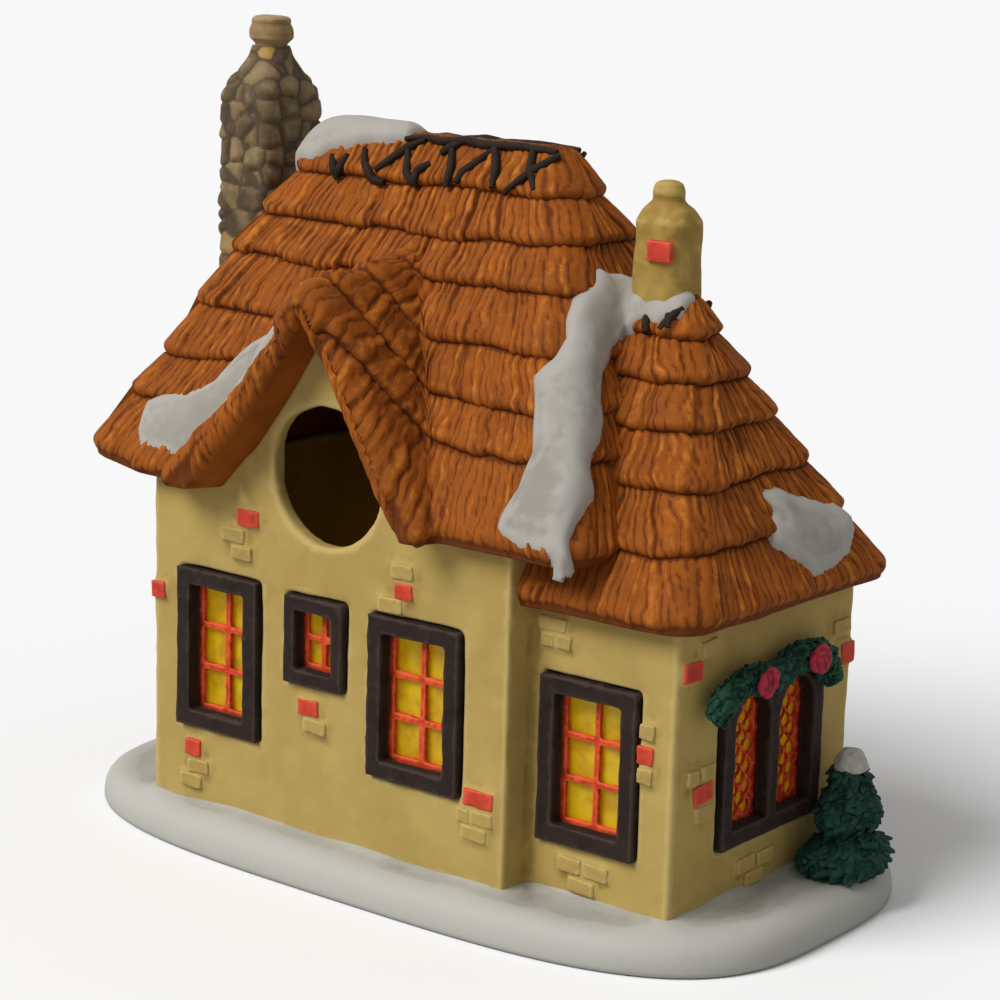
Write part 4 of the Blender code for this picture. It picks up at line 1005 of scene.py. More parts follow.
def thatch_paint():
    """Russet fired paint whose brush streaks follow the straws."""
    # The last colour given here is painted shade: the near-black of the roof's unlit lining.
    material = fired_paint("russet_thatch", (150, 80, 22), (92, 44, 14), (196, 120, 44),
                           roughness=0.75, patchiness=0.34, patch_size=95.0, tooth=0.8, bump=0.1,
                           sheen=0.12, inside_shade=(30, 29, 26))
    tree = material.node_tree
    paint = next(n for n in tree.nodes if n.type == "GROUP" and n.node_tree == BRUSHED_PAINT)
    hollow = next(n for n in tree.nodes if n.type == "ATTRIBUTE").outputs["Fac"]
    spot = put(tree, "ShaderNodeCombineXYZ", {
        "X": reckon(tree, "DIVIDE", carried(tree, "straw"), 0.8 * MM),
        "Y": times(tree, carried(tree, "course"), 2.6)})
    fibre = noise(tree, {"Vector": spot.outputs[0], "Scale": 1.0, "Detail": 2.0, "Roughness": 0.6})
    streak = times(tree, less(tree, fibre, 0.5), carried(tree, "combed"))
    tree.links.new(plus(tree, hollow, times(tree, streak, 0.9)), paint.inputs["Hollow"])
    raised = next(n for n in tree.nodes if n.type == "BUMP")
    fine = put(tree, "ShaderNodeBump", {"Height": streak, "Strength": 0.5, "Distance": 0.35 * MM,
                                        "Normal": raised.outputs["Normal"]})
    shader = next(n for n in tree.nodes if n.type == "BSDF_PRINCIPLED")
    tree.links.new(fine.outputs["Normal"], shader.inputs["Normal"])
    return material


THATCH_TREE = thatch_tree()
RUSSET = thatch_paint()


def thatch_piece(name, sides, plan, lips, ridge_z, fall, wall_box, wall_z, seed, gable=False):
    """Make joined combed slopes as one closed piece, hollow side inward."""
    columns = list_columns(sides)
    lip_seed = 7 if ridge_z == MAIN_RIDGE_Z else 57
    course, drop = course_rows(plan, sides, columns, lips, ridge_z, fall, lip_seed)
    rows = len(course)
    left, right, half = plan(drop)
    crown, tuck, down = CROWN[:, None], UNDER_TUCK[:, None], UNDER_DOWN[:, None]
    ends = [a[-1:] for a in (left, right, half)]
    under = [end + (wall - end) * tuck for end, wall in zip(ends, wall_box)]
    top = [left[:1] + (1 - crown) * MM, right[:1] - (1 - crown) * MM, half[:1] * crown]
    left, right, half = (np.concatenate([a, b, c]) for a, b, c in zip(top, (left, right, half), under))
    x, y, along = lay_plan(sides, columns, left, right, half)
    head = len(CROWN)
    across = np.zeros(x.shape)
    layer = np.clip(np.concatenate([0 * CROWN, course[:, 0], 99 + 0 * UNDER_DOWN]), 0, len(lips) - 1.01)
    for k in range(len(lips) - 1):
        mine = layer.astype(int) == k
        middle = int(np.argmin(np.abs(layer - k - 0.6)))
        across[mine] = straw_place(sides, columns, along, half, middle)[mine]
    eave_z = ridge_z - fall * drop[-1:]
    z = np.concatenate([ridge_z + 0.7 * MM * (1 - crown ** 2) + 0 * x[:head], ridge_z - fall * drop,
                        eave_z - 0.9 * MM * down + (wall_z - eave_z) * tuck])
    if gable:
        straight = (columns[0] == 0) & (columns[2] == 0)
        plan_x, plan_y = x.copy(), y.copy()
        x[:head + rows], y[:head + rows], made, course = grow_gable(
            x[:head + rows].copy(), y[:head + rows].copy(),
            np.concatenate([0 * crown + 0 * x[:head], course]), straight, head + rows)
        z[:head + rows] = np.where(np.isnan(made), z[:head + rows], made)
        z[:head] = ridge_z + 0.7 * MM * (1 - crown ** 2)
        course = course[head:]
        over_main = ease(gable_z(x, y) - main_slope_z(y), -1 * MM, 5 * MM)
        on_gable = straight * (np.abs(x - GABLE_X) < 44 * MM) * over_main
        across += on_gable * (x - GABLE_X) * (np.exp(GABLE_FAN * (y - GABLE_NOSE_Y)) - 1)
        edge, below = head + rows - 1, slice(head + rows, None)
        onto = ease(from_ridge(x[edge]), 37 * MM, 31.5 * MM) * straight
        x[below] = x[edge] + (plan_x[below] - plan_x[edge]) * (1 - onto)
        y[below] = y[edge] + (plan_y[-1] - y[edge]) * tuck
        soffit = gable_line(x[below]) + flare(x[below]) - SOFFIT_STEP * (tuck > 0.9)
        over = z[edge] + (soffit - z[edge]) * down
        z[below] = np.where(onto > 0, np.maximum(z[below], over), z[below])
    tail = len(UNDER_TUCK)
    course = np.concatenate([0 * x[:head], course, course[-1:] + 0 * x[-tail:]])
    if ridge_z == MAIN_RIDGE_Z:
        bend = EAVE_LIFT * ease(-x, 22 * MM, 44 * MM) + CORNER_LIFT * ease(-x, 62 * MM, 84 * MM)
        low = ease(course, 4.6, 7.0) * (1 - np.concatenate([np.zeros(head + rows), UNDER_TUCK])[:, None])
        z = z + bend * low
    thick = np.concatenate([np.ones(head + rows), [0.92, 0.7, 0.3, 0.05, 0, 0, 0]])[:, None] + 0 * x
    combed = np.concatenate([CROWN * 0.8, np.ones(rows), [1, 0.9, 0.5, 0.15, 0, 0, 0]])[:, None] + 0 * x
    step = np.hypot(np.diff(x, axis=1), np.diff(y, axis=1)) + 1e-9
    crowd = np.abs(np.diff(across, axis=1)) / step
    crowd = np.column_stack([crowd[:, :1], crowd])
    combed *= np.clip(2.0 / np.maximum(crowd, 0.1), 0.15, 1)
    way = facing_of(x, y, z)
    flow = np.gradient(np.stack([x, y, z], -1), axis=0)
    length = np.linalg.norm(flow, axis=-1, keepdims=True)
    flow = np.where(length > 1e-9, flow / np.maximum(length, 1e-9), 0)
    flow[head + rows - 1:] = 0
    kept = ~columns[3]
    x, y, z, course, across, thick, combed = (a[:, kept] for a in (x, y, z, course, across, thick, combed))
    way, flow = way[:, kept], flow[:, kept]
    count, wide = x.shape
    at = np.arange(count * wide).reshape(count, wide)
    outer = np.stack([x, y, z], -1)
    faces = quads(at).tolist()
    picked = np.linspace(head + int(0.52 * rows), 4, 12).astype(int)
    lining = outer[picked] - way[picked] * THATCH_BODY
    back = np.arange(len(picked) * wide).reshape(len(picked), wide) + at.size
    loop = np.vstack([at[-1:], back, at[:1]])
    faces += quads(loop).tolist()
    faces += [[*at[::-1, 0], *back[::-1, 0]], [*at[:, -1], *back[:, -1]]]
    faces = [[int(i) for i in face] for face in faces]
    sheet = cast(name, np.vstack([outer.reshape(-1, 3), lining.reshape(-1, 3)]), faces, RUSSET)
    for label, values in (("course", course), ("across", across), ("thick", thick), ("combed", combed)):
        note(sheet, label, np.concatenate([values.ravel(), np.zeros(back.size)]))
    # The lining is marked to take the painted shade of the unlit inside.
    note(sheet, "inside", np.concatenate([np.zeros(at.size), np.ones(back.size)]))
    for label, values in (("out_way", way), ("down_way", flow)):
        ways = sheet.data.attributes.new(label, "FLOAT_VECTOR", "POINT")
        ways.data.foreach_set("vector", np.vstack([values.reshape(-1, 3), 0 * lining.reshape(-1, 3)])
                              .astype(np.float32).ravel())
    run_tree(sheet, THATCH_TREE, {"Straw Width": 2.2 * MM, "Straw Depth": 0.55 * MM, "Lip Depth": 2.15 * MM,
                                  "Lip Ragged": 0.8 * MM, "Seed": float(seed), "Paint": RUSSET})
    mesh = bmesh.new()
    mesh.from_mesh(sheet.data)
    bmesh.ops.remove_doubles(mesh, verts=mesh.verts, dist=0.004 * MM)
    hidden = mesh.verts.layers.float["inside"]
    for face in mesh.faces:
        face.smooth = not any(vert[hidden] > 0.5 for vert in face.verts)
    mesh.to_mesh(sheet.data)
    mesh.free()
    for label in ("out_way", "down_way", "thick", "across"):
        sheet.data.attributes.remove(sheet.data.attributes[label])
    return set_down(sheet, "thatch")


def net(count, dense=None):
    """Give shares from 0 to 1 along a slope, closer together inside the dense stretch."""
    share = np.linspace(0, 1, count)
    if dense is None:
        return share
    fine = np.linspace(0, 1, 2001)
    weight = np.cumsum(1 + 0.8 * ((fine > dense[0]) & (fine < dense[1])))
    return np.interp(share, (weight - weight[0]) / (weight[-1] - weight[0]), fine)


def thatched_roofs():
    main = (main_plan, MAIN_LIPS, MAIN_RIDGE_Z, MAIN_FALL, (-63.0 * MM, 40.4 * MM, 42.5 * MM), 87.6 * MM)
    rear_sides = [("rear", net(320, (0.27, 0.76)), (1, 1)), ("right", net(180), (1, 1))]
    rear = thatch_piece("main_rear_thatch", rear_sides, *main, seed=1, gable=True)
    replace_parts(rear, "main_roof", "cross_gable_roof")
    front_sides = [("front", net(270), (1, 1)), ("left", net(190), (1, 1))]
    thatch_piece("main_front_thatch", front_sides, *main, seed=3)
    wing = (wing_plan, WING_LIPS, WING_RIDGE_Z, WING_FALL, (40.5 * MM, 78.2 * MM, 33.8 * MM), 75.4 * MM)
    around = [("rear", net(110), (0, 1)), ("right", net(170), (1, 1)), ("front", net(110), (1, 0))]
    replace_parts(thatch_piece("wing_thatch", around, *wing, seed=5), "wing_roof")


thatched_roofs()


# Black twigs are bound across both ridge bands in crosses. On the porcelain they are thick strokes of
# black paint that stand up from the thatch, each pressed fat at one end by the brush.
TWIG_BLACK = fired_paint("twig_black", (46, 36, 28), (28, 21, 17), (88, 58, 36), patchiness=0.5,
                         patch_size=300.0, roughness=0.7, sheen=0.08)


def straw_line_z(x, y):
    """Give the height of the uncombed roofs over points, with their valleys filled softly."""
    left = MAIN_RIDGE_Z - MAIN_FALL * (np.maximum(-46 * MM - x, 0) / (36.5 * MM)) ** (1 / 0.68)
    right = MAIN_RIDGE_Z - MAIN_FALL * (np.maximum(x - 20 * MM, 0) / (41 * MM)) ** (1 / 0.9)
    depth = np.maximum(np.abs(y - RIDGE_Y) - RIDGE_HALF, 0)
    side = either(-left, -right, 1 * MM)
    main = -either(side, MAIN_FALL * depth / MAIN_RUN - MAIN_RIDGE_Z, 4 * MM)
    end = WING_FALL * np.maximum(x - 56 * MM, 0) / (29.5 * MM) - WING_RIDGE_Z
    wing = -either(end, WING_FALL * depth / WING_RUN - WING_RIDGE_Z, 4 * MM)
    wing = wing - 3 * np.maximum(30 * MM - x, 0)
    gable = gable_z(x, y) - 3 * np.maximum(y - RIDGE_Y + 6 * MM, 0)
    return either(either(main, wing, 9 * MM), gable, 6 * MM)


def twig_tree():
    """Sweep a round brush stroke along each line, as fat as its points say."""
    tree, given, out = open_tree("twig_strokes", {"Sides": 8, "Roughness": 0.2 * MM})
    line = put(tree, "GeometryNodeMeshToCurve", {"Mesh": given["Geometry"]})
    brush = put(tree, "GeometryNodeCurvePrimitiveCircle", {"Resolution": given["Sides"], "Radius": 1.0})
    swept = put(tree, "GeometryNodeCurveToMesh", {"Curve": line.outputs[0], "Profile Curve": brush.outputs[0],
                                                  "Scale": named(tree, "fat"), "Fill Caps": True})
    return close_tree(tree, roughen(tree, swept, 600.0, 2.0, given["Roughness"]), given, out)


MAIN_TWIGS = (
    ((-42.2, 160.0), (-38.2, 155.1)), ((-37.5, 160.5), (-38.4, 155.1)),
    ((-33.5, 162.4), (-31.4, 159.0), (-27.4, 155.6), (-23.9, 155.4)),
    ((-27.3, 157.5), (-21.2, 163.3), (-17.0, 165.6)),
    ((-21.2, 164.0), (-17.8, 157.6), (-15.0, 155.6)), ((-12.5, 160.4), (-15.2, 158.2), (-14.6, 155.4)),
    ((-9.0, 165.7), (-6.1, 160.0), (-5.1, 155.7)), ((-6.4, 166.0), (-10.9, 162.9)),
    ((4.3, 165.8), (-2.1, 159.2), (-2.7, 156.6)), ((3.0, 166.0), (6.4, 160.9), (7.8, 156.3)),
    ((22.1, 164.9), (16.6, 160.9), (11.4, 155.5)), ((14.1, 166.0), (15.8, 161.2), (19.4, 156.8)),
    ((-22.9, 165.4), (-17.0, 166.2), (-12.3, 165.5), (-5.0, 166.3), (-0.6, 165.6), (10.8, 166.1),
     (21.0, 165.5)),
)
WING_TWIGS = (((48.4, 132.9), (50.6, 128.6)), ((53.2, 135.2), (55.4, 130.2)),
              ((56.8, 134.9), (55.3, 133.3), (53.6, 129.6)))


def twigs(name, strokes, ridge_z, fall, run, side, node_seed):
    """Lay each stroke, given as x and z, on one long slope; side is -1 for the rear and 1 for the front."""
    points, edges, fat = [], [], []
    cap = 10.2 if ridge_z == MAIN_RIDGE_Z else 8.6
    chance = np.random.default_rng(node_seed)
    for stroke in strokes:
        knots = np.array(stroke) * MM
        steps = np.linspace(0, len(knots) - 1, 5 * len(knots))
        way = np.column_stack([np.interp(steps, range(len(knots)), knots[:, axis]) for axis in (0, 1)])
        press_end = chance.integers(0, 2)
        for count, (x, z) in enumerate(way):
            depth = RIDGE_HALF + (ridge_z - z) * run / fall
            y = RIDGE_Y + side * depth
            along = count / (len(way) - 1)
            down = (ridge_z - z) / MM
            proud = float(np.interp(down, (0, cap, cap + 1.2, cap + 4), (1.6, 3.1, 1.9, 1.5))) * MM
            points.append((x, y + side * 0.864 * proud, z + 0.504 * proud))
            weight = along if press_end else 1 - along
            fat.append((0.5 + 0.55 * math.sin(math.pi * min(0.2 + 0.7 * weight, 1)) ** 1.5) * MM)
            if count:
                edges.append((len(points) - 2, len(points) - 1))
    mesh = bpy.data.meshes.new(name)
    mesh.from_pydata(points, edges, [])
    piece = stand(name, mesh)
    note(piece, "fat", fat)
    run_tree(piece, TWIG_TREE, {"Sides": 8, "Roughness": 0.3 * MM, "Paint": TWIG_BLACK})
    return set_down(piece, "dark_frame")


TWIG_TREE = twig_tree()
twigs("main_rear_twigs", MAIN_TWIGS, MAIN_RIDGE_Z, MAIN_FALL, MAIN_RUN, -1, 21)
twigs("main_front_twigs", MAIN_TWIGS, MAIN_RIDGE_Z, MAIN_FALL, MAIN_RUN, 1, 22)
twigs("wing_rear_twigs", WING_TWIGS, WING_RIDGE_Z, WING_FALL, WING_RUN, -1, 23)
twigs("wing_front_twigs", WING_TWIGS, WING_RIDGE_Z, WING_FALL, WING_RUN, 1, 24)

# The tall chimney is built of round field stones from the ground up, narrowing over rounded shoulders
# to a neck that carries a fat clay pot. The stones are cast in relief and washed brown between.
CHIMNEY_X = -73.7 * MM
CHIMNEY_Y = 2.4 * MM
CHIMNEY_HALF = (8.7 * MM, 10.75 * MM)
CHIMNEY_NECK = 4.3 * MM
STONE_ROOM = 0.9 * MM
SHOULDER_Z = np.array([0, 171.5, 174.4, 178.4, 181.8, 184.6]) * MM
SHOULDER_IN = (0, 0, 0.1, 0.5, 0.84, 1.0)
STONE_PAINT = fired_paint("field_stone", (122, 104, 74), (66, 55, 40), (150, 132, 98),
                          patchiness=0.45, patch_size=130.0)
POT_CLAY = fired_paint("pot_clay", (142, 115, 76), (96, 74, 48), (168, 142, 104),
                       patchiness=0.5, patch_size=160.0)


def rounded_oblong(x, y, half_x, half_y, corner, z, count):
    """Give one loop of points, evenly spaced round an oblong with round corners."""
    fine = []
    for quarter in range(4):
        sx, sy = ((1, 1), (-1, 1), (-1, -1), (1, -1))[quarter]
        for angle in np.radians(np.linspace(90 * quarter, 90 * quarter + 90, 13)):
            fine.append((x + sx * (half_x - corner) + corner * math.cos(angle),
                         y + sy * (half_y - corner) + corner * math.sin(angle)))
    fine = np.array(fine + fine[:1])
    walked = np.concatenate([[0], np.cumsum(np.linalg.norm(np.diff(fine, axis=0), axis=1))])
    steps = np.linspace(0, walked[-1], count, endpoint=False)
    return np.column_stack([np.interp(steps, walked, fine[:, 0]), np.interp(steps, walked, fine[:, 1]),
                            np.full(count, z)])


def stack(name, loops, paint):
    """Join loops from foot to top into one closed piece."""
    count, size = len(loops), len(loops[0])
    at = np.arange(count * size).reshape(count, size)
    after = np.roll(at, -1, axis=1)
    faces = np.stack([at[:-1], after[:-1], after[1:], at[1:]], -1).reshape(-1, 4).tolist()
    foot, top = loops[0].mean(0), loops[-1].mean(0)
    points = np.vstack([*loops, foot, top])
    faces += [(int(after[0, i]), int(at[0, i]), count * size) for i in range(size)]
    faces += [(int(at[-1, i]), int(after[-1, i]), count * size + 1) for i in range(size)]
    return cast(name, points, faces, paint)


def stone_tree():
    """Swell uneven round stones out of a plain surface, with mortar sunk between them."""
    tree, given, out = open_tree("field_stones", {"Stone Size": 6 * MM, "Stone Swell": 1.2 * MM, "Seed": 0.0})
    place = put(tree, "GeometryNodeInputPosition").outputs[0]
    bent = put(tree, "ShaderNodeTexNoise", {"Vector": place, "Scale": 160.0}).outputs["Color"]
    spot = combine(tree, place, stretch(tree, bent, 0.9 * MM))
    spot = combine(tree, spot, (1.0, 1.0, 1.22), "MULTIPLY")
    spot = combine(tree, spot, put(tree, "ShaderNodeCombineXYZ", {"X": given["Seed"]}).outputs[0])
    scale = reckon(tree, "DIVIDE", 1.0, given["Stone Size"])
    dome, luck = cell_domes(tree, {"Vector": spot, "Scale": scale, "Randomness": 0.74}, 3.1)
    high = times(tree, dome, plus(tree, 0.55, times(tree, luck[0], 0.45)))
    push = times(tree, times(tree, high, given["Stone Swell"]), named(tree, "stony"))
    offset = stretch(tree, put(tree, "GeometryNodeInputNormal").outputs[0], push)
    moved = put(tree, "GeometryNodeSetPosition", {"Geometry": given["Geometry"], "Offset": offset})
    hollow = less(tree, 0.9, times(tree, dome, 1.35))
    noted = remember(tree, moved, "hollow", hollow)
    noted = remember(tree, noted, "stone", luck[1])
    return close_tree(tree, noted, given, out)


def tint_stones():
    """Give each field stone its own shade, and a few a sandy one."""
    tree = STONE_PAINT.node_tree
    paint = next(n for n in tree.nodes if n.type == "GROUP" and n.node_tree == BRUSHED_PAINT)
    stone = carried(tree, "stone")
    shade = blend_colours(tree, slope(tree, stone, 0.15, 0.85), srgb(104, 84, 58), srgb(138, 116, 80))
    shade = blend_colours(tree, slope(tree, stone, 0.955, 0.965), shade, srgb(172, 138, 78))
    tree.links.new(shade, paint.inputs["Coat"])


tint_stones()


def tall_chimney():
    heights = np.concatenate([np.arange(9.0, 171.0, 0.55), np.linspace(171.0, 184.6, 30)]) * MM
    loops = []
    for z in heights:
        share = float(np.interp(z, SHOULDER_Z, SHOULDER_IN))
        wide, deep = (half - STONE_ROOM + (CHIMNEY_NECK - half + STONE_ROOM) * share for half in CHIMNEY_HALF)
        corner = 1.8 * MM + (0.9 * CHIMNEY_NECK - 1.8 * MM) * share
        loops.append(rounded_oblong(CHIMNEY_X, CHIMNEY_Y, wide, deep, corner, z, 140))
    chimney = stack("field_stone_chimney", loops, STONE_PAINT)
    points = points_of(chimney)[0]
    note(chimney, "stony", 1 - ease(points[:, 2], 173 * MM, 181 * MM) * 0.85)
    run_tree(chimney, stone_tree(), {"Stone Size": 6.4 * MM, "Stone Swell": 1.25 * MM, "Seed": 0.31,
                                     "Paint": STONE_PAINT})
    return set_down(chimney, "chimney_stone", "stone_chimney")


def clay_pot():
    heights = np.array([183.6, 184.6, 185.2, 185.9, 186.5, 187.0, 188.0, 189.0, 189.6, 190.0, 190.5, 191.2,
                        191.8, 192.1]) * MM
    radii = np.array([4.1, 3.9, 4.0, 4.6, 5.2, 5.3, 5.3, 5.1, 4.8, 4.6, 4.7, 4.6, 3.9, 2.4]) * MM
    loops = []
    for z in np.linspace(heights[0], heights[-1], 44):
        radius = float(np.interp(z, heights, radii))
        loops.append(rounded_oblong(CHIMNEY_X, CHIMNEY_Y, radius, radius, 0.98 * radius, z, 72))
    pot = stack("chimney_clay_pot", loops, POT_CLAY)
    points, facing = points_of(pot)
    press(pot, points + facing * (0.22 * MM * lumps(points, 3.5 * MM, 93))[:, None])
    find_hollows(pot, 8, 0.2 * MM)
    return set_down(pot, "chimney_clay", "chimney_pot")


tall_chimney()
clay_pot()

# The small chimney on the wing's ridge is a rounded square flue that draws in to a knob, plastered and
# painted a deeper ochre than the walls. One brick on its side is painted red.
FLUE_OCHRE = fired_paint("flue_ochre", (166, 138, 70), (128, 96, 40), (182, 156, 88),
                         patchiness=0.5, patch_size=120.0, sheen=0.2)
flue = recast("plastered_flue", ["small_chimney"], 0.42 * MM, 10, 0.3 * MM, 5 * MM, 95, FLUE_OCHRE)
set_down(flue, "cream_wall", "small_chimney")
bricks("flue_brick", (([(51.5, 147.6, 6.2, 4.6)], "flue"),), BRICK_RED, "orange_bars", 5)

# Snow lies thick in the long valley, over the left end of the ridge and in patches. It is modelled on
# the thatch in the porcelain as smooth pads with soft edges, and painted a greyed white.
SNOW_DEEP = 4.6 * MM
SNOW_SILL = 3.3 * MM
SNOW_SUNK = 1.2 * MM
SNOW_SHEET = 1.4 * MM
ROOF_WHITE = fired_paint("greyed_roof_snow", (156, 152, 143), (128, 121, 109), (170, 166, 158),
                         patchiness=0.45, patch_size=90.0, roughness=0.62, bump=0.06, sheen=0.15)
ROOF_SNOW = {
    "ridge_snow": ((-57, -4), (-53, -8), (-48.2, -9.6), (-45.6, -8.8), (-43.6, -7.9), (-41, -7.6),
                   (-36.5, -7), (-32.7, -5.9), (-28.4, -5.9), (-22.5, -4.7), (-22.5, 1), (-28, 4),
                   (-40, 7), (-50, 7.5), (-56, 4), (-58, 0)),
    "gable_snow": ((-38.6, -30.6), (-44.6, -32.6), (-47.8, -34.5), (-50.4, -37.8), (-56.9, -39.4),
                   (-64.8, -40.7), (-68.7, -41.8), (-69.2, -43.7), (-68.4, -46), (-64.9, -47.8),
                   (-60.9, -48.6), (-55, -49), (-47, -49.2), (-40, -49.6), (-34, -53), (-22, -54),
                   (-15.5, -53), (-15, -46), (-20, -41), (-27, -36), (-33, -31)),
    "valley_snow": ((34.3, -10.2), (36, -15.3), (38, -23.7), (39.9, -26), (39.4, -29), (37, -31.6),
                    (38.3, -33.6), (40.6, -36.7), (43.4, -40.3), (43.2, -44), (41.5, -47.1),
                    (41.3, -49.2), (47.8, -50.6), (59, -50.8), (60, -49.6), (58, -47.5), (57.2, -45.5),
                    (57, -42.4), (55.7, -38), (53.8, -36.6), (52.4, -34.5), (51, -30.3), (49.6, -27.4),
                    (47.4, -26.2), (46, -24.3), (44.6, -21.5), (43, -15), (43.6, -10), (47.8, -8.4),
                    (52, -8.6), (53, -8), (56, -6.5), (56, -3), (50, 0), (38, -1), (35.6, -4.2)),
    "wing_snow": ((74.8, -4.6), (76.6, -2.8), (77.6, -5), (79.9, -5), (82, -0.4), (83.6, 5), (84.2, 12.2),
                  (83.2, 20.4), (81.4, 24.4), (79.4, 25), (77.6, 20.5), (77, 12.7), (75.8, 5.9),
                  (74.8, 1.3)),
    "front_roof_snow": ((-30, 25), (-18, 22), (-4, 26), (3, 33), (-2, 43), (-14, 47), (-27, 44),
                        (-34, 35)),
}


def inside_by(outline, x, y):
    """Give how far points lie inside an outline, negative outside it."""
    knots = np.array(outline) * MM
    ends = np.roll(knots, -1, axis=0)
    best, odd = np.full(x.shape, 1.0), np.zeros(x.shape, bool)
    for (x0, y0), (x1, y1) in zip(knots, ends):
        way = np.array([x1 - x0, y1 - y0])
        t = np.clip(((x - x0) * way[0] + (y - y0) * way[1]) / (way @ way), 0, 1)
        best = np.minimum(best, np.hypot(x - x0 - t * way[0], y - y0 - t * way[1]))
        cross = (y0 > y) != (y1 > y)
        odd ^= cross & (x < (x1 - x0) * (y - y0) / (y1 - y0 if y1 != y0 else 1) + x0)
    return np.where(odd, best, -best)


def soften(grid, passes):
    """Blur a grid of numbers a little with each pass."""
    for _ in range(passes):
        wide = np.pad(grid, 1, mode="edge")
        grid = 0.5 * grid + 0.125 * (wide[:-2, 1:-1] + wide[2:, 1:-1] + wide[1:-1, :-2] + wide[1:-1, 2:])
    return grid


def net_lumps(x, y, z, size, seed):
    """Give hand-pressed hills over a net of points."""
    return lumps(np.column_stack([x.ravel(), y.ravel(), z.ravel()]), size, seed).reshape(x.shape)


def snow_pad(name, outline, seed):
    """Drape one pad over the thatch inside an outline seen from above, its rim sunk in the straws."""
    knots = np.array(outline) * MM
    pitch = 0.6 * MM
    low, high = knots.min(0) - 3 * MM, knots.max(0) + 3 * MM
    x, y = np.meshgrid(np.arange(low[0], high[0], pitch), np.arange(low[1], high[1], pitch), indexing="ij")
    z = straw_line_z(x, y)
    ragged = net_lumps(x, y, z, 6 * MM, seed) * 0.5 * MM
    eave = np.where(x + 0.55 * y < 28 * MM, MAIN_EAVE_Z, WING_EAVE_Z) + 0.3 * MM
    depth = np.minimum(inside_by(outline, x, y) + ragged, 1.1 * (z - eave))
    slope_x, slope_y = (soften(way, 120) for way in np.gradient(z, pitch))
    steep = np.sqrt(1 + slope_x ** 2 + slope_y ** 2)
    z = soften(z, 20)
    roll = net_lumps(x, y, z, 8 * MM, seed + 1)
    lift = -SNOW_SUNK + ease(depth, -1.6 * MM, 0.9 * MM) * (SNOW_SUNK + SNOW_SILL)
    lift += ease(depth, 0, 3.6 * MM) * (SNOW_DEEP - SNOW_SILL + 0.6 * MM * roll)
    px, py, pz = x - slope_x / steep * lift, y - slope_y / steep * lift, z + lift / steep
    kept = (depth > -1.8 * MM) & (z > eave)
    number = -np.ones(x.shape, int)
    number[kept] = np.arange(kept.sum())
    faces = quads(number)
    faces = faces[(faces >= 0).all(1)].tolist()
    pad = cast(f"{name}_pad", np.stack([px[kept], py[kept], pz[kept]], -1), faces, ROOF_WHITE)
    thick = pad.modifiers.new("thickness", "SOLIDIFY")
    thick.thickness = SNOW_SHEET
    thick.offset = -1
    settle(pad, ROOF_WHITE)
    find_hollows(pad, 8, 0.4 * MM)
    return set_down(pad, "snow", name)


for seed, (name, outline) in enumerate(ROOF_SNOW.items()):
    snow_pad(name, outline, 200 + 5 * seed)

# A little fir stands in the snow by the wing, in two spreading tiers, its tip buried in snow.
# Its boughs are dabs of porcelain, painted dark green.
FIR_GREEN = fired_paint("fir_green", (16, 44, 40), (8, 24, 22), (40, 76, 62), patchiness=0.5,
                        patch_size=260.0, roughness=0.75, sheen=0.1)


def leaf_tree():
    """Set small blunt leaves all over a surface, turned at random and lying outward."""
    tree, given, out = open_tree("leaf_dabs", {"Leaf Length": 2.4 * MM, "Leaf Width": 1.0 * MM,
                                               "Spacing": 0.9 * MM, "Droop": 0.5, "Seed": 1})
    spots = put(tree, "GeometryNodeDistributePointsOnFaces",
                {"Mesh": given["Geometry"], "Distance Min": given["Spacing"], "Density Max": 900000.0,
                 "Seed": given["Seed"]}, distribute_method="POISSON")
    leaf = put(tree, "GeometryNodeMeshIcoSphere", {"Radius": 0.5, "Subdivisions": 2})
    size = put(tree, "ShaderNodeCombineXYZ", {"X": given["Leaf Width"], "Y": given["Leaf Length"],
                                              "Z": times(tree, given["Leaf Width"], 0.7)})
    vary = put(tree, "FunctionNodeRandomValue", {2: 0.65, 3: 1.25, "Seed": given["Seed"]},
               data_type="FLOAT")
    size = stretch(tree, size.outputs[0], vary.outputs[1])
    spin = put(tree, "FunctionNodeRandomValue", {"Min": (-0.4, -0.4, -0.9), "Max": (0.4, 0.4, 0.9),
                                                "Seed": given["Seed"]}, data_type="FLOAT_VECTOR")
    down = put(tree, "ShaderNodeCombineXYZ", {"Z": given["Droop"]})
    lean = combine(tree, spots.outputs["Normal"], down.outputs[0])
    facing = put(tree, "FunctionNodeAlignRotationToVector", {"Vector": lean}, axis="Z")
    turned = put(tree, "FunctionNodeRotateRotation", {"Rotation": facing.outputs[0],
                                                     "Rotate By": spin.outputs[0]}, rotation_space="LOCAL")
    placed = put(tree, "GeometryNodeInstanceOnPoints", {
        "Points": spots.outputs["Points"], "Instance": leaf.outputs["Mesh"],
        "Rotation": turned.outputs[0], "Scale": size})
    both = put(tree, "GeometryNodeJoinGeometry")
    tree.links.new(placed.outputs[0], both.inputs[0])
    tree.links.new(given["Geometry"], both.inputs[0])
    return close_tree(tree, both, given, out)


LEAF_TREE = leaf_tree()


def fir():
    core = recast("little_fir", ["tree"], 0.7 * MM, 3, 0.9 * MM, 4.5 * MM, 101, FIR_GREEN)
    run_tree(core, LEAF_TREE, {"Leaf Length": 4.2 * MM, "Leaf Width": 1.7 * MM, "Spacing": 1.15 * MM,
                               "Droop": 0.5, "Seed": 4, "Paint": FIR_GREEN})
    find_hollows(core, 3, 0.5 * MM)
    set_down(core, "evergreen", "tree")
    cap = recast("fir_snow_cap", ["tree_snow"], 0.4 * MM, 6, 0.6 * MM, 3 * MM, 103, SNOW_WHITE)
    set_down(cap, "snow", "tree_snow")


fir()

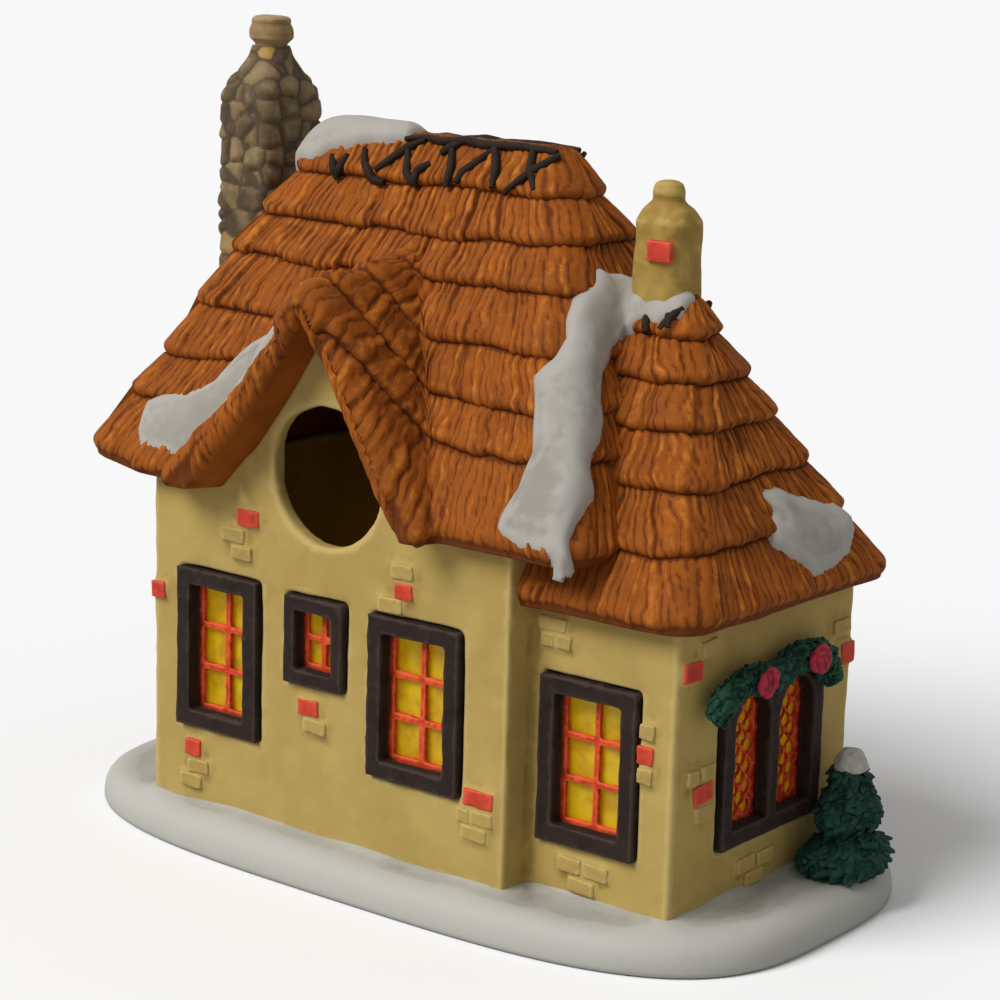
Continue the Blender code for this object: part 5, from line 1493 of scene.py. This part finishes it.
# A swag of greenery hangs over the pair of arched lights, with two crimson bows.
# It is modelled as small leaves pressed close together, painted green.
LEAF_GREEN = fired_paint("leaf_green", (20, 50, 42), (8, 26, 22), (50, 88, 68), patchiness=0.5,
                         patch_size=300.0, roughness=0.75, sheen=0.1)
CRIMSON = fired_paint("crimson", (150, 22, 46), (88, 12, 28), (184, 52, 70), patchiness=0.5,
                      patch_size=300.0, roughness=0.65, sheen=0.2)
swag = recast("leafy_swag", ["garland"], 0.6 * MM, 3, 0.6 * MM, 3 * MM, 111, LEAF_GREEN)
run_tree(swag, LEAF_TREE, {"Leaf Length": 3.2 * MM, "Leaf Width": 1.35 * MM, "Spacing": 0.95 * MM,
                           "Droop": 0.2, "Seed": 8, "Paint": LEAF_GREEN})
find_hollows(swag, 3, 0.4 * MM)
set_down(swag, "evergreen", "garland")
for name, seed in (("left_bow", 121), ("right_bow", 123)):
    bow = recast(f"{name}_ribbon", [name], 0.3 * MM, 3, 0.5 * MM, 2.2 * MM, seed, CRIMSON)
    set_down(bow, "crimson_bow", name)

# The table is a plain pale floor, lit like a product picture: one broad soft lamp high on the left,
# and pale light from all round. The camera stands where the photographer stood.
CAMERA_AROUND = math.radians(37.891)
CAMERA_ABOVE = math.radians(12.308)
CAMERA_ROLL = math.radians(1.571)
CAMERA_LENS = 97.591
CAMERA_AWAY = 633.489 * MM
CAMERA_AIM = Vector((2.517 * MM, 0, 83.758 * MM))
FLOOR_BOUNCE = (0.6, 0.6, 0.6, 1)
FLOOR_SEEN = (0.98, 0.98, 0.98, 1)
ROOM_LIGHT = 0.36
LAMP_POWER = 2.7
LAMP_SPREAD = math.radians(32)
LAMP_SIDE = Vector((-0.34, -0.94, 0.98))


def floor():
    material = bpy.data.materials.new("pale_floor")
    material.use_nodes = True
    shader = material.node_tree.nodes["Principled BSDF"]
    tree = material.node_tree
    seen = put(tree, "ShaderNodeLightPath").outputs["Is Camera Ray"]
    shade = blend_colours(tree, seen, FLOOR_BOUNCE, FLOOR_SEEN)
    tree.links.new(shade, shader.inputs["Base Color"])
    shader.inputs["Roughness"].default_value = 0.9
    shader.inputs["Specular IOR Level"].default_value = 0.0
    around = np.linspace(0, 2 * math.pi, 96, endpoint=False)
    ring = np.column_stack([np.cos(around), np.sin(around), 0 * around]) * 14.0
    ground = cast("floor", ring, [tuple(range(96))], material, smooth=False)


def light():
    world = bpy.data.worlds.new("pale_room")
    bpy.context.scene.world = world
    world.use_nodes = True
    tree = world.node_tree
    tree.nodes.clear()
    path = put(tree, "ShaderNodeLightPath")
    seen = reckon(tree, "MAXIMUM", path.outputs["Is Camera Ray"], path.outputs["Is Glossy Ray"])
    seen = reckon(tree, "MAXIMUM", seen, path.outputs["Is Transmission Ray"])
    strength = plus(tree, ROOM_LIGHT, times(tree, seen, 1 - ROOM_LIGHT))
    shade = put(tree, "ShaderNodeBackground", {"Color": (1, 1, 1, 1), "Strength": strength})
    put(tree, "ShaderNodeOutputWorld", {"Surface": shade.outputs[0]})
    lamp = bpy.data.lights.new("soft_key", "SUN")
    lamp.energy = LAMP_POWER
    lamp.angle = LAMP_SPREAD
    key = stand("soft_key", lamp)
    key.rotation_euler = LAMP_SIDE.to_track_quat("Z", "Y").to_euler()


def camera():
    around, above, roll = CAMERA_AROUND, CAMERA_ABOVE, CAMERA_ROLL
    back = Vector((math.sin(around) * math.cos(above), -math.cos(around) * math.cos(above), math.sin(above)))
    right = Vector((math.cos(around), math.sin(around), 0))
    up = back.cross(right)
    right, up = right * math.cos(roll) + up * math.sin(roll), up * math.cos(roll) - right * math.sin(roll)
    lens = bpy.data.cameras.new("camera")
    lens.lens = CAMERA_LENS
    lens.sensor_width = 36
    lens.sensor_fit = "HORIZONTAL"
    lens.clip_end = 60
    eye = stand("camera", lens)
    turn = Matrix((right, up, back)).transposed().to_4x4()
    eye.matrix_world = Matrix.Translation(CAMERA_AIM + back * CAMERA_AWAY) @ turn
    bpy.context.scene.camera = eye


floor()
light()
camera()
bpy.context.scene.view_settings.view_transform = "Standard"
